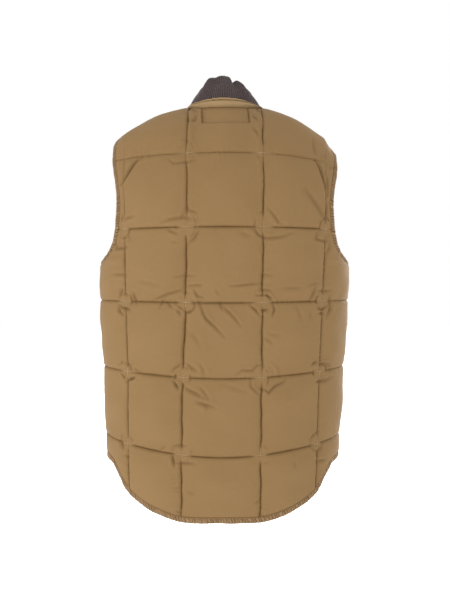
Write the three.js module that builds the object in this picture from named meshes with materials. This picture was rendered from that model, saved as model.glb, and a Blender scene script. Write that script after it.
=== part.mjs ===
// A quilted vest, filled out as worn: padded panels stitched in squares, a padded neck band, a rib-knit
// collar, gathered bindings round the armholes and the hem, and a front band with snap fasteners.
// Millimetres. +Z is up, the front faces -Y and +X is the wearer's left. The origin is the middle of the
// line on which the shoulders carry the vest.
import * as THREE from "three";

// Cloth
const wall = 3; // padded cloth where it is stitched down
const puffs = [8, 8, 5.5]; // how far the padding lifts the outside, from the centre column to the side
const seamGap = 0.3; // between two pieces that are sewn together

// Quilting, in squares of about 5 inches
const square = 124;
const firstSeam = square / 2; // from the centre line to the first upright seam
const roundness = 0.4; // how squarely the padding fills a cell: 1 is a sine, 0 is a block
const fullCell = 60; // a narrower cell holds less padding
const seamRows = [
  // height at the centre, and how far the row climbs to the side seam
  { z: -556.5, climb: 29 },
  { z: -428, climb: 15.5 },
  { z: -304.5, climb: 4.5 },
  { z: -181, climb: -2 },
  { z: -58.5, climb: -7 },
];

// The body of the vest: half width and depth of its sections at the stitched level, how far round the
// second upright seam lies, and how far it hangs to the left of straight
const sectionPower = 2.25; // 2 is an ellipse, more is squarer
const sections = [
  { z: -660, halfWidth: 196, back: 137, front: 142, seam: 161, sway: 4.5 },
  { z: -560, halfWidth: 199, back: 140, front: 145, seam: 164, sway: 4 },
  { z: -470, halfWidth: 202, back: 142, front: 146, seam: 165.5, sway: 3 },
  { z: -400, halfWidth: 205.5, back: 143, front: 146, seam: 166.5, sway: 2 },
  { z: -300, halfWidth: 211.7, back: 146, front: 143, seam: 170, sway: 1.6 },
  { z: -180, halfWidth: 212, back: 149, front: 137, seam: 174.5, sway: 0 },
  { z: -60, halfWidth: 208, back: 149, front: 134, seam: 178, sway: 0 },
];

// Neck, shoulders and hem
const neckHalf = 61.5; // just inside the first upright seams, which end at the neck's corners
const shoulder = { neckZ: 31, tipX: 177, tipZ: -22, uneven: 5, fall: 1.35 };
const collarLevel = { back: 4, front: 1.7 }; // how sharply the neck edge rises to the shoulder
const bindingWidth = 7.5;
const sides = {
  back: {
    sign: 1,
    rollZ: -180, // above this the panel turns over towards the shoulder
    rollLength: 190,
    neckY: 62,
    neckZ: 27,
    hem: [
      { along: 0, z: -657.5 },
      { along: 66, z: -656.5 },
      { along: 109, z: -644.5 },
      { along: 135, z: -632.5 },
      { along: 159, z: -618 },
      { along: 172, z: -605.5 },
      { along: 186, z: -588.5 },
      { along: 202, z: -573.5 },
      { along: 220, z: -567 },
      { along: 264, z: -564 },
    ],
    armhole: { narrow: 175.5, cap: 13, tuck: 8 },
  },
  front: {
    sign: -1,
    rollZ: -150,
    rollLength: 150,
    neckY: 106,
    neckZ: -48,
    hem: [
      { along: 0, z: -606 },
      { along: 60, z: -605 },
      { along: 130, z: -592 },
      { along: 200, z: -574 },
      { along: 264, z: -564 },
    ],
    armhole: { narrow: 172, cap: 15, tuck: 8 },
  },
};
const armpitShare = 0.5; // where the armhole starts, up the side's fourth cell
const armholeCurve = 24; // how fast the armhole turns up from the side seam

// Front band and snaps
const bandHalf = 20;
const bandThick = 2.6;
const snap = { radius: 7.5, height: 3.2, edge: 1.1, count: 5, top: -84, pitch: 112, facets: 12 };

// Neck band and collar
const neckBand = { height: 18.5, lean: 18, steps: 46, endX: 1.5 };
const neckCorner = { at: 0.33, spread: 0.17, left: 9, right: 14 }; // the band stands lower beside the shoulders
const bandSection = [
  // up from the neck seam, and out from it
  { up: 2.8, out: -2 },
  { up: 2.8, out: 0.2 },
  { up: 6.6, out: 3.6 },
  { up: 9.8, out: 6 },
  { up: 15.5, out: 4.6 },
  { up: neckBand.height, out: 1.8 },
  { up: neckBand.height, out: -2 },
];
const collar = { height: 42, thick: 2.4, ribs: 144, rib: 1.1, leanFoot: 18, leanTop: 38, coarse: 4 };
const collarRows = [0, 0.34, 0.68, 1];
const collarFolds = [
  // place round the neck from centre back (0) to centre front (1, -1), rise of the edge, push inwards, spread
  { at: 0.03, rise: 3, push: -2, spread: 0.085 },
  { at: 0.16, rise: 4, push: 0, spread: 0.06 },
  { at: 0.33, rise: 0, push: 3, spread: 0.08 },
  { at: -0.09, rise: -8, push: 6, spread: 0.028 },
  { at: -0.17, rise: -2, push: -2, spread: 0.05 },
  { at: -0.3, rise: -8, push: 4, spread: 0.09 },
  { at: 0.62, rise: -3, push: 4, spread: 0.06 },
  { at: -0.68, rise: -2, push: 4, spread: 0.06 },
];

// Bindings
const binding = { thick: 2.7, gather: 0.55, wave: 13.5 };

const tan = { color: 0x9c7c50, roughness: 0.72, metalness: 0 };
const knit = { color: 0x4f4140, roughness: 0.95, metalness: 0 };
const brass = { color: 0x7a6238, roughness: 0.4, metalness: 0.9 };

const clamp = THREE.MathUtils.clamp;
const lerp = THREE.MathUtils.lerp;
const smooth = (from, to, at) => THREE.MathUtils.smoothstep(at, from, to);

// The value of a table's column at a place in another, on a smooth curve through its rows.
function tableAt(rows, column, at, by = "z") {
  const last = rows.length - 1;
  let k = 0;
  while (k < last - 1 && at > rows[k + 1][by]) k++;
  const slope = (i) => {
    const a = rows[Math.max(0, i - 1)];
    const b = rows[Math.min(last, i + 1)];
    return (b[column] - a[column]) / (b[by] - a[by]);
  };
  const [p, q] = [rows[k], rows[k + 1]];
  const span = q[by] - p[by];
  const t = clamp((at - p[by]) / span, 0, 1);
  const keep = (1 + 2 * t) * (1 - t) ** 2;
  return (
    keep * p[column] +
    (1 - keep) * q[column] +
    span * (t * (1 - t) ** 2 * slope(k) - t * t * (1 - t) * slope(k + 1))
  );
}

// A quarter of the body's section at a height, as points with their distance from the centre line.
const quarters = new Map();
function quarterOf(side, z) {
  const key = side.sign + ":" + z.toFixed(2);
  if (quarters.has(key)) return quarters.get(key);
  const a = tableAt(sections, "halfWidth", z);
  const b = tableAt(sections, side.sign > 0 ? "back" : "front", z);
  const samples = 160;
  const points = [];
  let along = 0;
  for (let i = 0; i <= samples; i++) {
    const angle = (i / samples) * (Math.PI / 2);
    const x = a * Math.sin(angle) ** (2 / sectionPower);
    const y = i === samples ? 0 : b * Math.cos(angle) ** (2 / sectionPower);
    if (i) along += Math.hypot(x - points[i - 1].x, y - points[i - 1].y);
    points.push({ x, y, along });
  }
  quarters.set(key, points);
  return points;
}

const girth = (side, z) => quarterOf(side, z).at(-1).along;

// The point of a quarter section at a distance from the centre line. Past the side it goes straight on.
function quarterPoint(side, z, along) {
  const points = quarterOf(side, z);
  const end = points.at(-1);
  if (along >= end.along) return { x: end.x, y: end.along - along };
  let [low, high] = [0, points.length - 1];
  while (high - low > 1) {
    const middle = (low + high) >> 1;
    if (points[middle].along > along) high = middle;
    else low = middle;
  }
  const [p, q] = [points[low], points[high]];
  const t = (along - p.along) / (q.along - p.along);
  return { x: lerp(p.x, q.x, t), y: lerp(p.y, q.y, t) };
}

// The distance from the centre line at which a quarter section reaches a half width.
function alongAt(side, z, x) {
  const points = quarterOf(side, z);
  const i = points.findIndex((p) => p.x >= x);
  if (i < 1) return i === 0 ? 0 : points.at(-1).along;
  const [p, q] = [points[i - 1], points[i]];
  return lerp(p.along, q.along, (x - p.x) / (q.x - p.x));
}

// Depth and height of a panel's upper edge over a half width: the neck edge, then the shoulder seam.
function topEdge(side, x) {
  const share = Math.min(1, Math.abs(x) / neckHalf);
  if (share < 1) {
    const power = side.sign > 0 ? collarLevel.back : collarLevel.front;
    return {
      y: Math.max(seamGap / 2, side.neckY * Math.sqrt(1 - share * share)),
      z: lerp(side.neckZ, shoulder.neckZ, share ** power),
    };
  }
  const out = (Math.abs(x) - neckHalf) / (shoulder.tipX - neckHalf);
  return {
    y: seamGap / 2,
    z: lerp(shoulder.neckZ, shoulder.tipZ + Math.sign(x) * shoulder.uneven, Math.max(0, out) ** shoulder.fall),
  };
}

// How the panel turns over above rollZ: the angle it turns through and its radii in depth and height.
function rollOf(side, x, y) {
  const top = topEdge(side, x);
  const [deep, high] = [y - top.y, top.z - side.rollZ];
  const round = Math.min(Math.PI / 2, 2 * Math.atan2(deep, high));
  const turn = lerp(round, Math.PI / 2, Math.min(1, Math.abs(x) / neckHalf) ** 4);
  return { turn, deep: deep / (1 - Math.cos(turn)), high: high / Math.sin(turn) };
}

// A point of the stitched level of the cloth. The level is the height up to rollZ, and the way over the
// shoulder above it.
function clothPoint(side, along, level) {
  const base = quarterPoint(side, Math.min(level, side.rollZ), Math.abs(along));
  const x = Math.sign(along) * base.x;
  const sway = tableAt(sections, "sway", level);
  if (level <= side.rollZ) return new THREE.Vector3(x + sway, side.sign * base.y, level);
  const roll = rollOf(side, x, base.y);
  const angle = ((level - side.rollZ) / side.rollLength) * roll.turn;
  const y = base.y - roll.deep * (1 - Math.cos(angle));
  return new THREE.Vector3(x, side.sign * y, side.rollZ + roll.high * Math.sin(angle));
}

function clothNormal(side, along, level) {
  const step = 0.5;
  const across = clothPoint(side, along + step, level).sub(clothPoint(side, along - step, level));
  const up = clothPoint(side, along, level + step).sub(clothPoint(side, along, level - step));
  return up.cross(across).multiplyScalar(side.sign).normalize();
}

const onCloth = (side, along, level, out) =>
  clothPoint(side, along, level).addScaledVector(clothNormal(side, along, level), out);

// The level at which a column reaches a height.
function levelOfHeight(side, along, z) {
  if (z <= side.rollZ) return z;
  const base = quarterPoint(side, side.rollZ, Math.abs(along));
  const roll = rollOf(side, base.x, base.y);
  const angle = Math.asin(Math.min(1, (z - side.rollZ) / roll.high));
  return side.rollZ + (side.rollLength * angle) / roll.turn;
}

const seamHeight = (row, share) => row.z + row.climb * smooth(0, 1, share);
const armpitZ = lerp(seamHeight(seamRows[2], 1), seamHeight(seamRows[3], 1), armpitShare);

// The level of a row of quilting: 0 is the hem, 1 to 5 are seams and 6 is the upper edge.
function rowLevel(side, row, along) {
  if (row > seamRows.length) return side.rollZ + side.rollLength;
  if (row === 0) return tableAt(side.hem, "z", Math.abs(along), "along");
  const share = Math.abs(along) / girth(side, armpitZ);
  return levelOfHeight(side, along, seamHeight(seamRows[row - 1], share));
}

// How far round a panel reaches at a level: to the side seam, or to the edge of the armhole.
function edgeAlong(side, level) {
  const z = Math.min(level, side.rollZ);
  if (level <= armpitZ + 0.01) return girth(side, z) - seamGap / 2;
  const { narrow, cap, tuck } = side.armhole;
  const start = tableAt(sections, "halfWidth", armpitZ);
  const top = side.rollZ + side.rollLength;
  const x =
    narrow +
    (start - narrow) * Math.exp((armpitZ - level) / armholeCurve) +
    cap * smooth(lerp(side.rollZ, top, 0.15), lerp(side.rollZ, top, 0.6), level) -
    tuck * smooth(lerp(side.rollZ, top, 0.75), top, level) +
    (shoulder.tipX - narrow - cap + tuck) * smooth(side.rollZ, top, level);
  return alongAt(side, z, x);
}

const crown = (share) => Math.sin(Math.PI * clamp(share, 0, 1)) ** roundness;

// Columns and rows of a panel: the seams are always among them, with a few steps in each cell.
const cellSteps = [0, 0.12, 0.5, 0.88];
const edgeSteps = [0, 0.14, 0.5, 0.86, 1];
const armpitSteps = [0, 0.12, 0.32, armpitShare, 0.54, 0.61, 0.72, 0.86];
const armholeSteps = [0, 0.14, 0.36, 0.64, 0.86];
const cellRows = [cellSteps, cellSteps, cellSteps, armpitSteps, armholeSteps, [...armholeSteps, 1]];

function panelColumns(centre) {
  const columns = [];
  for (const share of centre) columns.push({ cell: 0, share });
  for (const share of cellSteps) columns.push({ cell: 1, share });
  for (const share of edgeSteps) columns.push({ cell: 2, share });
  return columns;
}

const mirrored = (columns) => columns.slice(1).reverse().map((c) => ({ ...c, mirror: true }));
const backColumns = panelColumns([0, 0.5, 0.76, 0.93]);
const frontColumns = panelColumns([0, 0.15, 0.5, 0.78, 0.93]);

// Where a grid point of a panel lies on the cloth, and how far its padding lifts it.
function gridPoint(side, column, row, share, inner) {
  const seamsAt = (level) => [inner, firstSeam, tableAt(sections, "seam", level), edgeAlong(side, level)];
  let along = column.cell * firstSeam;
  let level = 0;
  let [start, edge] = [0, 0];
  for (let turn = 0; turn < 6; turn++) {
    level = lerp(rowLevel(side, row, along), rowLevel(side, row + 1, along), share);
    [start, edge] = seamsAt(level).slice(column.cell, column.cell + 2);
    along = lerp(start, edge, column.share);
  }
  const centred = inner === 0 && column.cell === 0;
  const across = centred ? 0.5 + column.share / 2 : column.share;
  const width = centred ? square : edge - start;
  const height = rowLevel(side, row + 1, along) - rowLevel(side, row, along);
  const tall = Math.min(1, height / fullCell) * crown(share);
  const filled = (cell, at, wide) => puffs[cell] * Math.min(1, wide / fullCell) * crown(at) * tall;
  let lift = filled(column.cell, across, width);
  if (row === seamRows.length && column.cell > 0) {
    // over the shoulder the second upright seam is slack
    const whole = edgeAlong(side, level) - firstSeam;
    lift = lerp(lift, filled(1, (along - firstSeam) / whole, whole), smooth(0, 0.35, share));
  }
  return { along: column.mirror ? -along : along, level, lift };
}

function panelGrid(side, columns, inner, flip) {
  const outer = [];
  const plain = [];
  cellRows.forEach((steps, row) =>
    steps.forEach((share) => {
      const spots = columns.map((column) => gridPoint(side, column, row, share, inner));
      if (flip) spots.forEach((spot) => (spot.along = -spot.along));
      outer.push(spots.map((s) => onCloth(side, s.along, s.level, wall / 2 + s.lift)));
      plain.push(spots.map((s) => onCloth(side, s.along, s.level, -wall / 2)));
    }),
  );
  return shell(outer, plain);
}

// A closed wall between an outer and an inner grid of points. The inner one may have fewer columns, each
// standing for the same number of outer ones.
function shell(outer, inner, ring = false) {
  const [rows, wide, narrow] = [outer.length, outer[0].length, inner[0].length];
  const step = ring ? wide / narrow : (wide - 1) / (narrow - 1);
  const positions = [...outer.flat(), ...inner.flat()].flatMap((p) => [p.x, p.y, p.z]);
  const o = (j, i) => j * wide + (i % wide);
  const n = (j, i) => rows * wide + j * narrow + (i % narrow);
  const faces = [];
  const quad = (a, b, c, d) => faces.push(a, b, c, a, c, d);
  const wideSpan = ring ? wide : wide - 1;
  const narrowSpan = ring ? narrow : narrow - 1;
  for (let j = 0; j + 1 < rows; j++) {
    for (let i = 0; i < wideSpan; i++) quad(o(j, i), o(j, i + 1), o(j + 1, i + 1), o(j + 1, i));
    for (let i = 0; i < narrowSpan; i++) quad(n(j, i), n(j + 1, i), n(j + 1, i + 1), n(j, i + 1));
    if (ring) continue;
    quad(o(j, 0), o(j + 1, 0), n(j + 1, 0), n(j, 0));
    quad(o(j, wide - 1), n(j, narrow - 1), n(j + 1, narrow - 1), o(j + 1, wide - 1));
  }
  for (const [j, turned] of [[0, false], [rows - 1, true]])
    for (let k = 0; k < narrowSpan; k++) {
      const rim = [];
      for (let m = 0; m < step; m++) rim.push([n(j, k), o(j, k * step + m + 1), o(j, k * step + m)]);
      rim.push([n(j, k), n(j, k + 1), o(j, (k + 1) * step)]);
      for (const [a, b, c] of rim) faces.push(...(turned ? [a, c, b] : [a, b, c]));
    }
  return facingOut(positions, faces);
}

// A geometry from points and faces, turned round if its faces point inwards.
function facingOut(positions, faces) {
  const at = (i) => new THREE.Vector3().fromArray(positions, 3 * i);
  let volume = 0;
  for (let i = 0; i < faces.length; i += 3)
    volume += at(faces[i]).dot(at(faces[i + 1]).cross(at(faces[i + 2])));
  if (volume < 0)
    for (let i = 0; i < faces.length; i += 3)
      [faces[i + 1], faces[i + 2]] = [faces[i + 2], faces[i + 1]];
  const geometry = new THREE.BufferGeometry();
  geometry.setAttribute("position", new THREE.Float32BufferAttribute(positions, 3));
  geometry.setIndex(faces);
  geometry.computeVertexNormals();
  return geometry;
}

// A closed tube through rings of points, or a loop of it.
function tube(rings, loop = false) {
  const [count, around] = [rings.length, rings[0].length];
  const positions = rings.flat().flatMap((p) => [p.x, p.y, p.z]);
  const v = (j, i) => (j % count) * around + (i % around);
  const faces = [];
  for (let j = 0; j < (loop ? count : count - 1); j++)
    for (let i = 0; i < around; i++)
      faces.push(v(j, i), v(j, i + 1), v(j + 1, i + 1), v(j, i), v(j + 1, i + 1), v(j + 1, i));
  if (!loop)
    for (let i = 1; i + 1 < around; i++)
      faces.push(v(0, 0), v(0, i + 1), v(0, i), v(count - 1, 0), v(count - 1, i), v(count - 1, i + 1));
  return facingOut(positions, faces);
}

// Steps along an edge, half a gather long, that keep the edge's own points.
function gatherSteps(edge, loop) {
  const ends = loop ? [...edge, edge[0]] : edge;
  const steps = [];
  ends.slice(1).forEach((to, i) => {
    const from = ends[i];
    const count = Math.max(1, Math.round(from.point.distanceTo(to.point) / (binding.wave / 2)));
    for (let k = 0; k < count; k++) {
      const mixed = (key) => from[key].clone().lerp(to[key], k / count);
      steps.push({ point: mixed("point"), normal: mixed("normal").normalize(), out: mixed("out") });
    }
  });
  if (!loop) steps.push(ends.at(-1));
  else if (steps.length % 2) steps.pop();
  return steps;
}

// A gathered binding: its thickness and width swell and shrink along the edge.
function bindingRing({ point, normal, out }, index) {
  const swell = index % 2 ? 1 : -1;
  const thick = binding.thick + swell * binding.gather;
  const width = bindingWidth + swell * binding.gather;
  const outline = [
    [seamGap, -thick * 0.8],
    [width * 0.6, -thick],
    [width, -thick * 0.45],
    [width, thick * 0.45],
    [width * 0.6, thick],
    [seamGap, thick * 0.8],
  ];
  return outline.map(([away, up]) =>
    point.clone().addScaledVector(out, away).addScaledVector(normal, up),
  );
}

const bindingAlong = (edge, loop = false) => tube(gatherSteps(edge, loop).map(bindingRing), loop);

// One side of an armhole, through the panel's own edge points from the side seam to the shoulder tip.
function armholeEdge(side, mirror) {
  const outermost = { cell: 2, share: 1 };
  const edge = [];
  cellRows.forEach((steps, row) =>
    steps.forEach((share) => {
      if (row + share < 3 + armpitShare) return;
      const spot = gridPoint(side, outermost, row, share, 0);
      const along = mirror * spot.along;
      const point = clothPoint(side, along, spot.level);
      edge.push({ point, normal: clothNormal(side, along, spot.level), along, level: spot.level });
    }),
  );
  edge.forEach((e, i) => {
    const ahead = edge[Math.min(edge.length - 1, i + 1)].point.clone().sub(edge[Math.max(0, i - 1)].point);
    e.out = ahead.cross(e.normal);
    if (i === 0 || i === edge.length - 1) e.out.y = 0;
    e.out.normalize();
    const inside = clothPoint(side, e.along - 2 * mirror, e.level - 2);
    if (e.out.dot(inside.sub(e.point)) > 0) e.out.negate();
  });
  return edge;
}

// The lower edge of a panel through its own points. The way out is straight down, and longer where the edge
// climbs.
function hemEdge(side, columns, inner, mirror) {
  return columns.map((column) => {
    const spot = gridPoint(side, column, 0, 0, inner);
    const reach = column.cell === 2 && column.share === 1 ? 3 * seamGap : 0;
    const along = mirror * (spot.along - Math.sign(spot.along) * reach);
    const point = clothPoint(side, along, spot.level);
    const climb = (rowLevel(side, 0, along + 2) - rowLevel(side, 0, along - 2)) / 4;
    const out = clothPoint(side, along, spot.level - 1).sub(point).setLength(Math.hypot(1, climb));
    return { point, normal: clothNormal(side, along, spot.level), out };
  });
}

// A strip of the front band, with its faces at two distances from the stitched level.
function frontStrip(low, high) {
  const side = sides.front;
  const across = [-bandHalf, 0, bandHalf];
  const rows = 16;
  const grid = (out) =>
    Array.from({ length: rows + 1 }, (_, j) =>
      across.map((along) => {
        const foot = rowLevel(side, 0, along) - bindingWidth;
        return onCloth(side, along, lerp(foot, rowLevel(side, seamRows.length + 1, along), j / rows), out);
      }),
    );
  return shell(grid(high), grid(low));
}

// The neck seam from centre back round to centre front, through the panels' own points.
function neckLine() {
  const top = (side, alongs) =>
    alongs.map((along) => clothPoint(side, along, side.rollZ + side.rollLength));
  const within = (columns, inner) =>
    columns.filter((c) => c.cell === 0).map((c) => lerp(inner, firstSeam, c.share));
  const back = top(sides.back, [...within(backColumns, 0), firstSeam]);
  const front = top(sides.front, [0, bandHalf, ...within(frontColumns, bandHalf + seamGap)]);
  return [...back, ...front.reverse()];
}

const neckCurve = new THREE.CurvePath();
neckLine().forEach((point, i, all) => {
  if (i) neckCurve.add(new THREE.LineCurve3(all[i - 1], point));
});

// A point of the neck seam: 0 is centre back, and 1 and -1 are centre front.
function neckPoint(t) {
  const point = neckCurve.getPointAt(Math.abs(t));
  if (t < 0) point.x = -point.x;
  return point;
}

// Across a place of the neck seam: the way in, and up along a lean from the upright.
function neckFrame(t, degrees) {
  const { x, y } = neckPoint(t);
  const side = y > 0 ? sides.back : sides.front;
  const inward = new THREE.Vector3(-x / neckHalf ** 2, -y / side.neckY ** 2, 0).normalize();
  const share = clamp(Math.abs(x) / neckHalf, 0, 1);
  const power = side.sign > 0 ? collarLevel.back : collarLevel.front;
  const fall = (shoulder.neckZ - side.neckZ) / neckHalf;
  const steep = fall * power * share ** (power - 1) * smooth(0, 0.4, share);
  const across = Math.sqrt(1 - share * share);
  const ahead = new THREE.Vector3(across, (-side.sign * share * side.neckY) / neckHalf, steep * across);
  if (x < 0) ahead.x = -ahead.x;
  ahead.normalize();
  const lean = THREE.MathUtils.degToRad(degrees);
  const rise = new THREE.Vector3(0, 0, Math.cos(lean)).addScaledVector(inward, Math.sin(lean));
  rise.addScaledVector(ahead, -rise.dot(ahead)).normalize();
  const away = new THREE.Vector3(0, 0, Math.sin(lean)).addScaledVector(inward, -Math.cos(lean));
  away.addScaledVector(ahead, -away.dot(ahead));
  away.addScaledVector(rise, -away.dot(rise)).normalize();
  return { inward, rise, away };
}

// A point above the neck seam: up the leaning band, and out from it.
function bandPoint(t, up, out) {
  const { rise, away } = neckFrame(t, neckBand.lean);
  const nearCorner = Math.exp(-(((Math.abs(t) - neckCorner.at) / neckCorner.spread) ** 2));
  const drop = lerp(neckCorner.right, neckCorner.left, smooth(-0.1, 0.1, t)) * nearCorner;
  const foot = bandSection[0].up;
  const lower = (drop * (up - foot)) / (neckBand.height - foot);
  return neckPoint(t).addScaledVector(rise, up - lower).addScaledVector(away, out);
}

const neckEnd = 1 - neckBand.endX / neckCurve.getLength();

function neckBandSolid() {
  const rings = [];
  for (let j = 0; j <= neckBand.steps; j++) {
    const t = lerp(-neckEnd, neckEnd, j / neckBand.steps);
    rings.push(bandSection.map(({ up, out }) => bandPoint(t, up, out)));
  }
  return tube(rings);
}

// A point of the collar at a share of its height, out from the middle of the knit.
function collarPoint(t, share, out) {
  const point = bandPoint(t, neckBand.height, 0).addScaledVector(neckFrame(t, neckBand.lean).rise, 3 * seamGap);
  const steps = 6;
  for (let k = 0; k < steps; k++) {
    const lean = lerp(collar.leanFoot, collar.leanTop, (share * (k + 0.5)) / steps);
    point.addScaledVector(neckFrame(t, lean).rise, (collar.height * share) / steps);
  }
  const { inward, away } = neckFrame(t, lerp(collar.leanFoot, collar.leanTop, share));
  for (const fold of collarFolds) {
    const near = Math.exp(-(((t - fold.at) / fold.spread) ** 2));
    point.z += fold.rise * near * share ** 2;
    point.addScaledVector(inward, fold.push * near * share ** 1.5);
  }
  return point.addScaledVector(away, out);
}

function collarSolid() {
  const wide = 2 * collar.ribs;
  const outer = collarRows.map((share) =>
    Array.from({ length: wide + 1 }, (_, i) => {
      const rib = i % 2 ? collar.rib : 0;
      return collarPoint(lerp(-neckEnd, neckEnd, i / wide), share, collar.thick / 2 + rib);
    }),
  );
  const inner = collarRows.map((share) =>
    Array.from({ length: wide / collar.coarse + 1 }, (_, i) =>
      collarPoint(lerp(-neckEnd, neckEnd, (i * collar.coarse) / wide), share, -collar.thick / 2),
    ),
  );
  return shell(outer, inner);
}

// A domed snap cap with its flat back at the origin and its axis along +Z.
function snapCap() {
  const { radius, height, edge, facets } = snap;
  const profile = [
    [0, 0],
    [radius * 0.9, 0],
    [radius, edge * 0.5],
    [radius * 0.95, edge + 0.5],
    [radius * 0.6, height * 0.85],
    [0, height],
  ].map(([r, z]) => new THREE.Vector2(r, z));
  return new THREE.LatheGeometry(profile, facets).rotateX(Math.PI / 2);
}

const vest = new THREE.Group();

function add(name, geometry, finish) {
  const mesh = new THREE.Mesh(geometry, new THREE.MeshStandardMaterial(finish));
  mesh.name = name;
  vest.add(mesh);
  return mesh;
}

const wholeBack = [...mirrored(backColumns), ...backColumns];
const frontInner = bandHalf + seamGap;
add("back_panel", panelGrid(sides.back, wholeBack, 0, false), tan);
add("front_left", panelGrid(sides.front, frontColumns, frontInner, false), tan);
add("front_right", panelGrid(sides.front, frontColumns, frontInner, true), tan);
add("front_band", frontStrip(seamGap / 2, seamGap / 2 + bandThick), tan);
add("under_band", frontStrip(-seamGap / 2 - bandThick, -seamGap / 2), tan);
add("neck_band", neckBandSolid(), tan);
add("collar_knit", collarSolid(), knit);

for (const [name, mirror] of [["armhole_binding_left", 1], ["armhole_binding_right", -1]]) {
  const front = armholeEdge(sides.front, mirror).reverse().slice(1, -1);
  add(name, bindingAlong([...armholeEdge(sides.back, mirror), ...front], true), tan);
}

add("hem_binding_back", bindingAlong(hemEdge(sides.back, wholeBack, 0, 1)), tan);
add("hem_binding_left", bindingAlong(hemEdge(sides.front, frontColumns, frontInner, 1)), tan);
add("hem_binding_right", bindingAlong(hemEdge(sides.front, frontColumns, frontInner, -1)), tan);

for (let i = 0; i < snap.count; i++) {
  const level = snap.top - i * snap.pitch;
  const normal = clothNormal(sides.front, 0, level);
  const cap = add(`snap_${i + 1}`, snapCap(), brass);
  cap.position.copy(onCloth(sides.front, 0, level, seamGap * 1.5 + bandThick));
  cap.quaternion.setFromUnitVectors(new THREE.Vector3(0, 0, 1), normal);
}

export default vest;
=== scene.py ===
import math
import bpy
import numpy as np
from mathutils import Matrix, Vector


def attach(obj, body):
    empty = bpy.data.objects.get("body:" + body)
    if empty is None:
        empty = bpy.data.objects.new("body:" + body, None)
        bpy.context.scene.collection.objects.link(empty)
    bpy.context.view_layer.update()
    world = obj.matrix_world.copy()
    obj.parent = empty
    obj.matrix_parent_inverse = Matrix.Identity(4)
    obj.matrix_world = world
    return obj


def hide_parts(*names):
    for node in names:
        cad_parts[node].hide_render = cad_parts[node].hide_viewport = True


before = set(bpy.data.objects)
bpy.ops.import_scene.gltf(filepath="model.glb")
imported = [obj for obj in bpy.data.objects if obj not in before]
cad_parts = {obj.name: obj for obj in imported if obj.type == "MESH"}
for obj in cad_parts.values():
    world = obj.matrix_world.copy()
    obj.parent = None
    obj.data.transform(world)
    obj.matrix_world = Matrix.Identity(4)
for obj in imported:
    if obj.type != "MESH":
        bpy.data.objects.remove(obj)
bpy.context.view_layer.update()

# A quilted vest seen from behind. Sizes are in millimetres until a mesh is made.
# The back faces +Y, the front -Y, and +X is the wearer's left.

scene = bpy.context.scene

camera = {
    "distance": 1.95,       # from the origin, straight behind
    "height": -0.30,        # the middle of the picture
    "lens": 66.67,
    "sensor": 36.0,
}

studio = {
    "surround": 1.0,
    "horizon": (0.25, 1.0),     # where on the height ramp, how bright
    "overhead": (0.7, 1.25),    # the studio is brighter above
    "floorDrop": -1.05,
    "floorSize": 60.0,
    "floorGlow": 0.65,
    "floorColor": (0.93, 0.93, 0.92, 1),
    "lamps": [
        # name, place, aimed at, size, power, colour
        ("keyLamp", (2.6, 1.7, -0.7), (0, 0, -0.35), 1.3, 46, (1.0, 0.985, 0.96)),
        ("fillLamp", (-1.8, 1.2, 1.7), (0, 0, -0.1), 1.8, 10, (0.98, 0.99, 1.0)),
        ("topLamp", (0.2, 1.2, 2.2), (0, 0, 0), 1.2, 4, (0.99, 0.99, 1.0)),
        ("frontLamp", (-1.6, -2.4, 0.2), (0, 0, -0.3), 1.6, 40, (1.0, 0.985, 0.96)),
    ],
}


def aim(thing, target):
    thing.rotation_euler = (Vector(target) - thing.location).to_track_quat("-Z", "Y").to_euler()


def makeCamera():
    lens = bpy.data.cameras.new("backView")
    lens.lens = camera["lens"]
    lens.sensor_width = camera["sensor"]
    lens.clip_start = 0.05
    lens.clip_end = 50
    eye = bpy.data.objects.new("backView", lens)
    scene.collection.objects.link(eye)
    eye.location = (0, camera["distance"], camera["height"])
    aim(eye, (0, 0, camera["height"]))
    scene.camera = eye


def makeLamps():
    for name, place, target, size, power, color in studio["lamps"]:
        lamp = bpy.data.lights.new(name, "AREA")
        lamp.shape = "DISK"
        lamp.size = size
        lamp.energy = power
        lamp.color = color
        stand = bpy.data.objects.new(name, lamp)
        scene.collection.objects.link(stand)
        stand.location = place
        aim(stand, target)
    scene.view_settings.view_transform = "Standard"


class Value:  # a socket that can be used in sums
    def __init__(self, shader, socket):
        self.shader = shader
        self.socket = socket

    def maths(self, operation, first, second):
        return self.shader.node("Math", {"operation": operation}, {0: first, 1: second})

    def __add__(self, other):
        return self.maths("ADD", self, other)

    __radd__ = __add__

    def __sub__(self, other):
        return self.maths("SUBTRACT", self, other)

    def __rsub__(self, other):
        return self.maths("SUBTRACT", other, self)

    def __mul__(self, other):
        return self.maths("MULTIPLY", self, other)

    __rmul__ = __mul__

    def __pow__(self, other):
        return self.maths("POWER", self, other)


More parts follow.
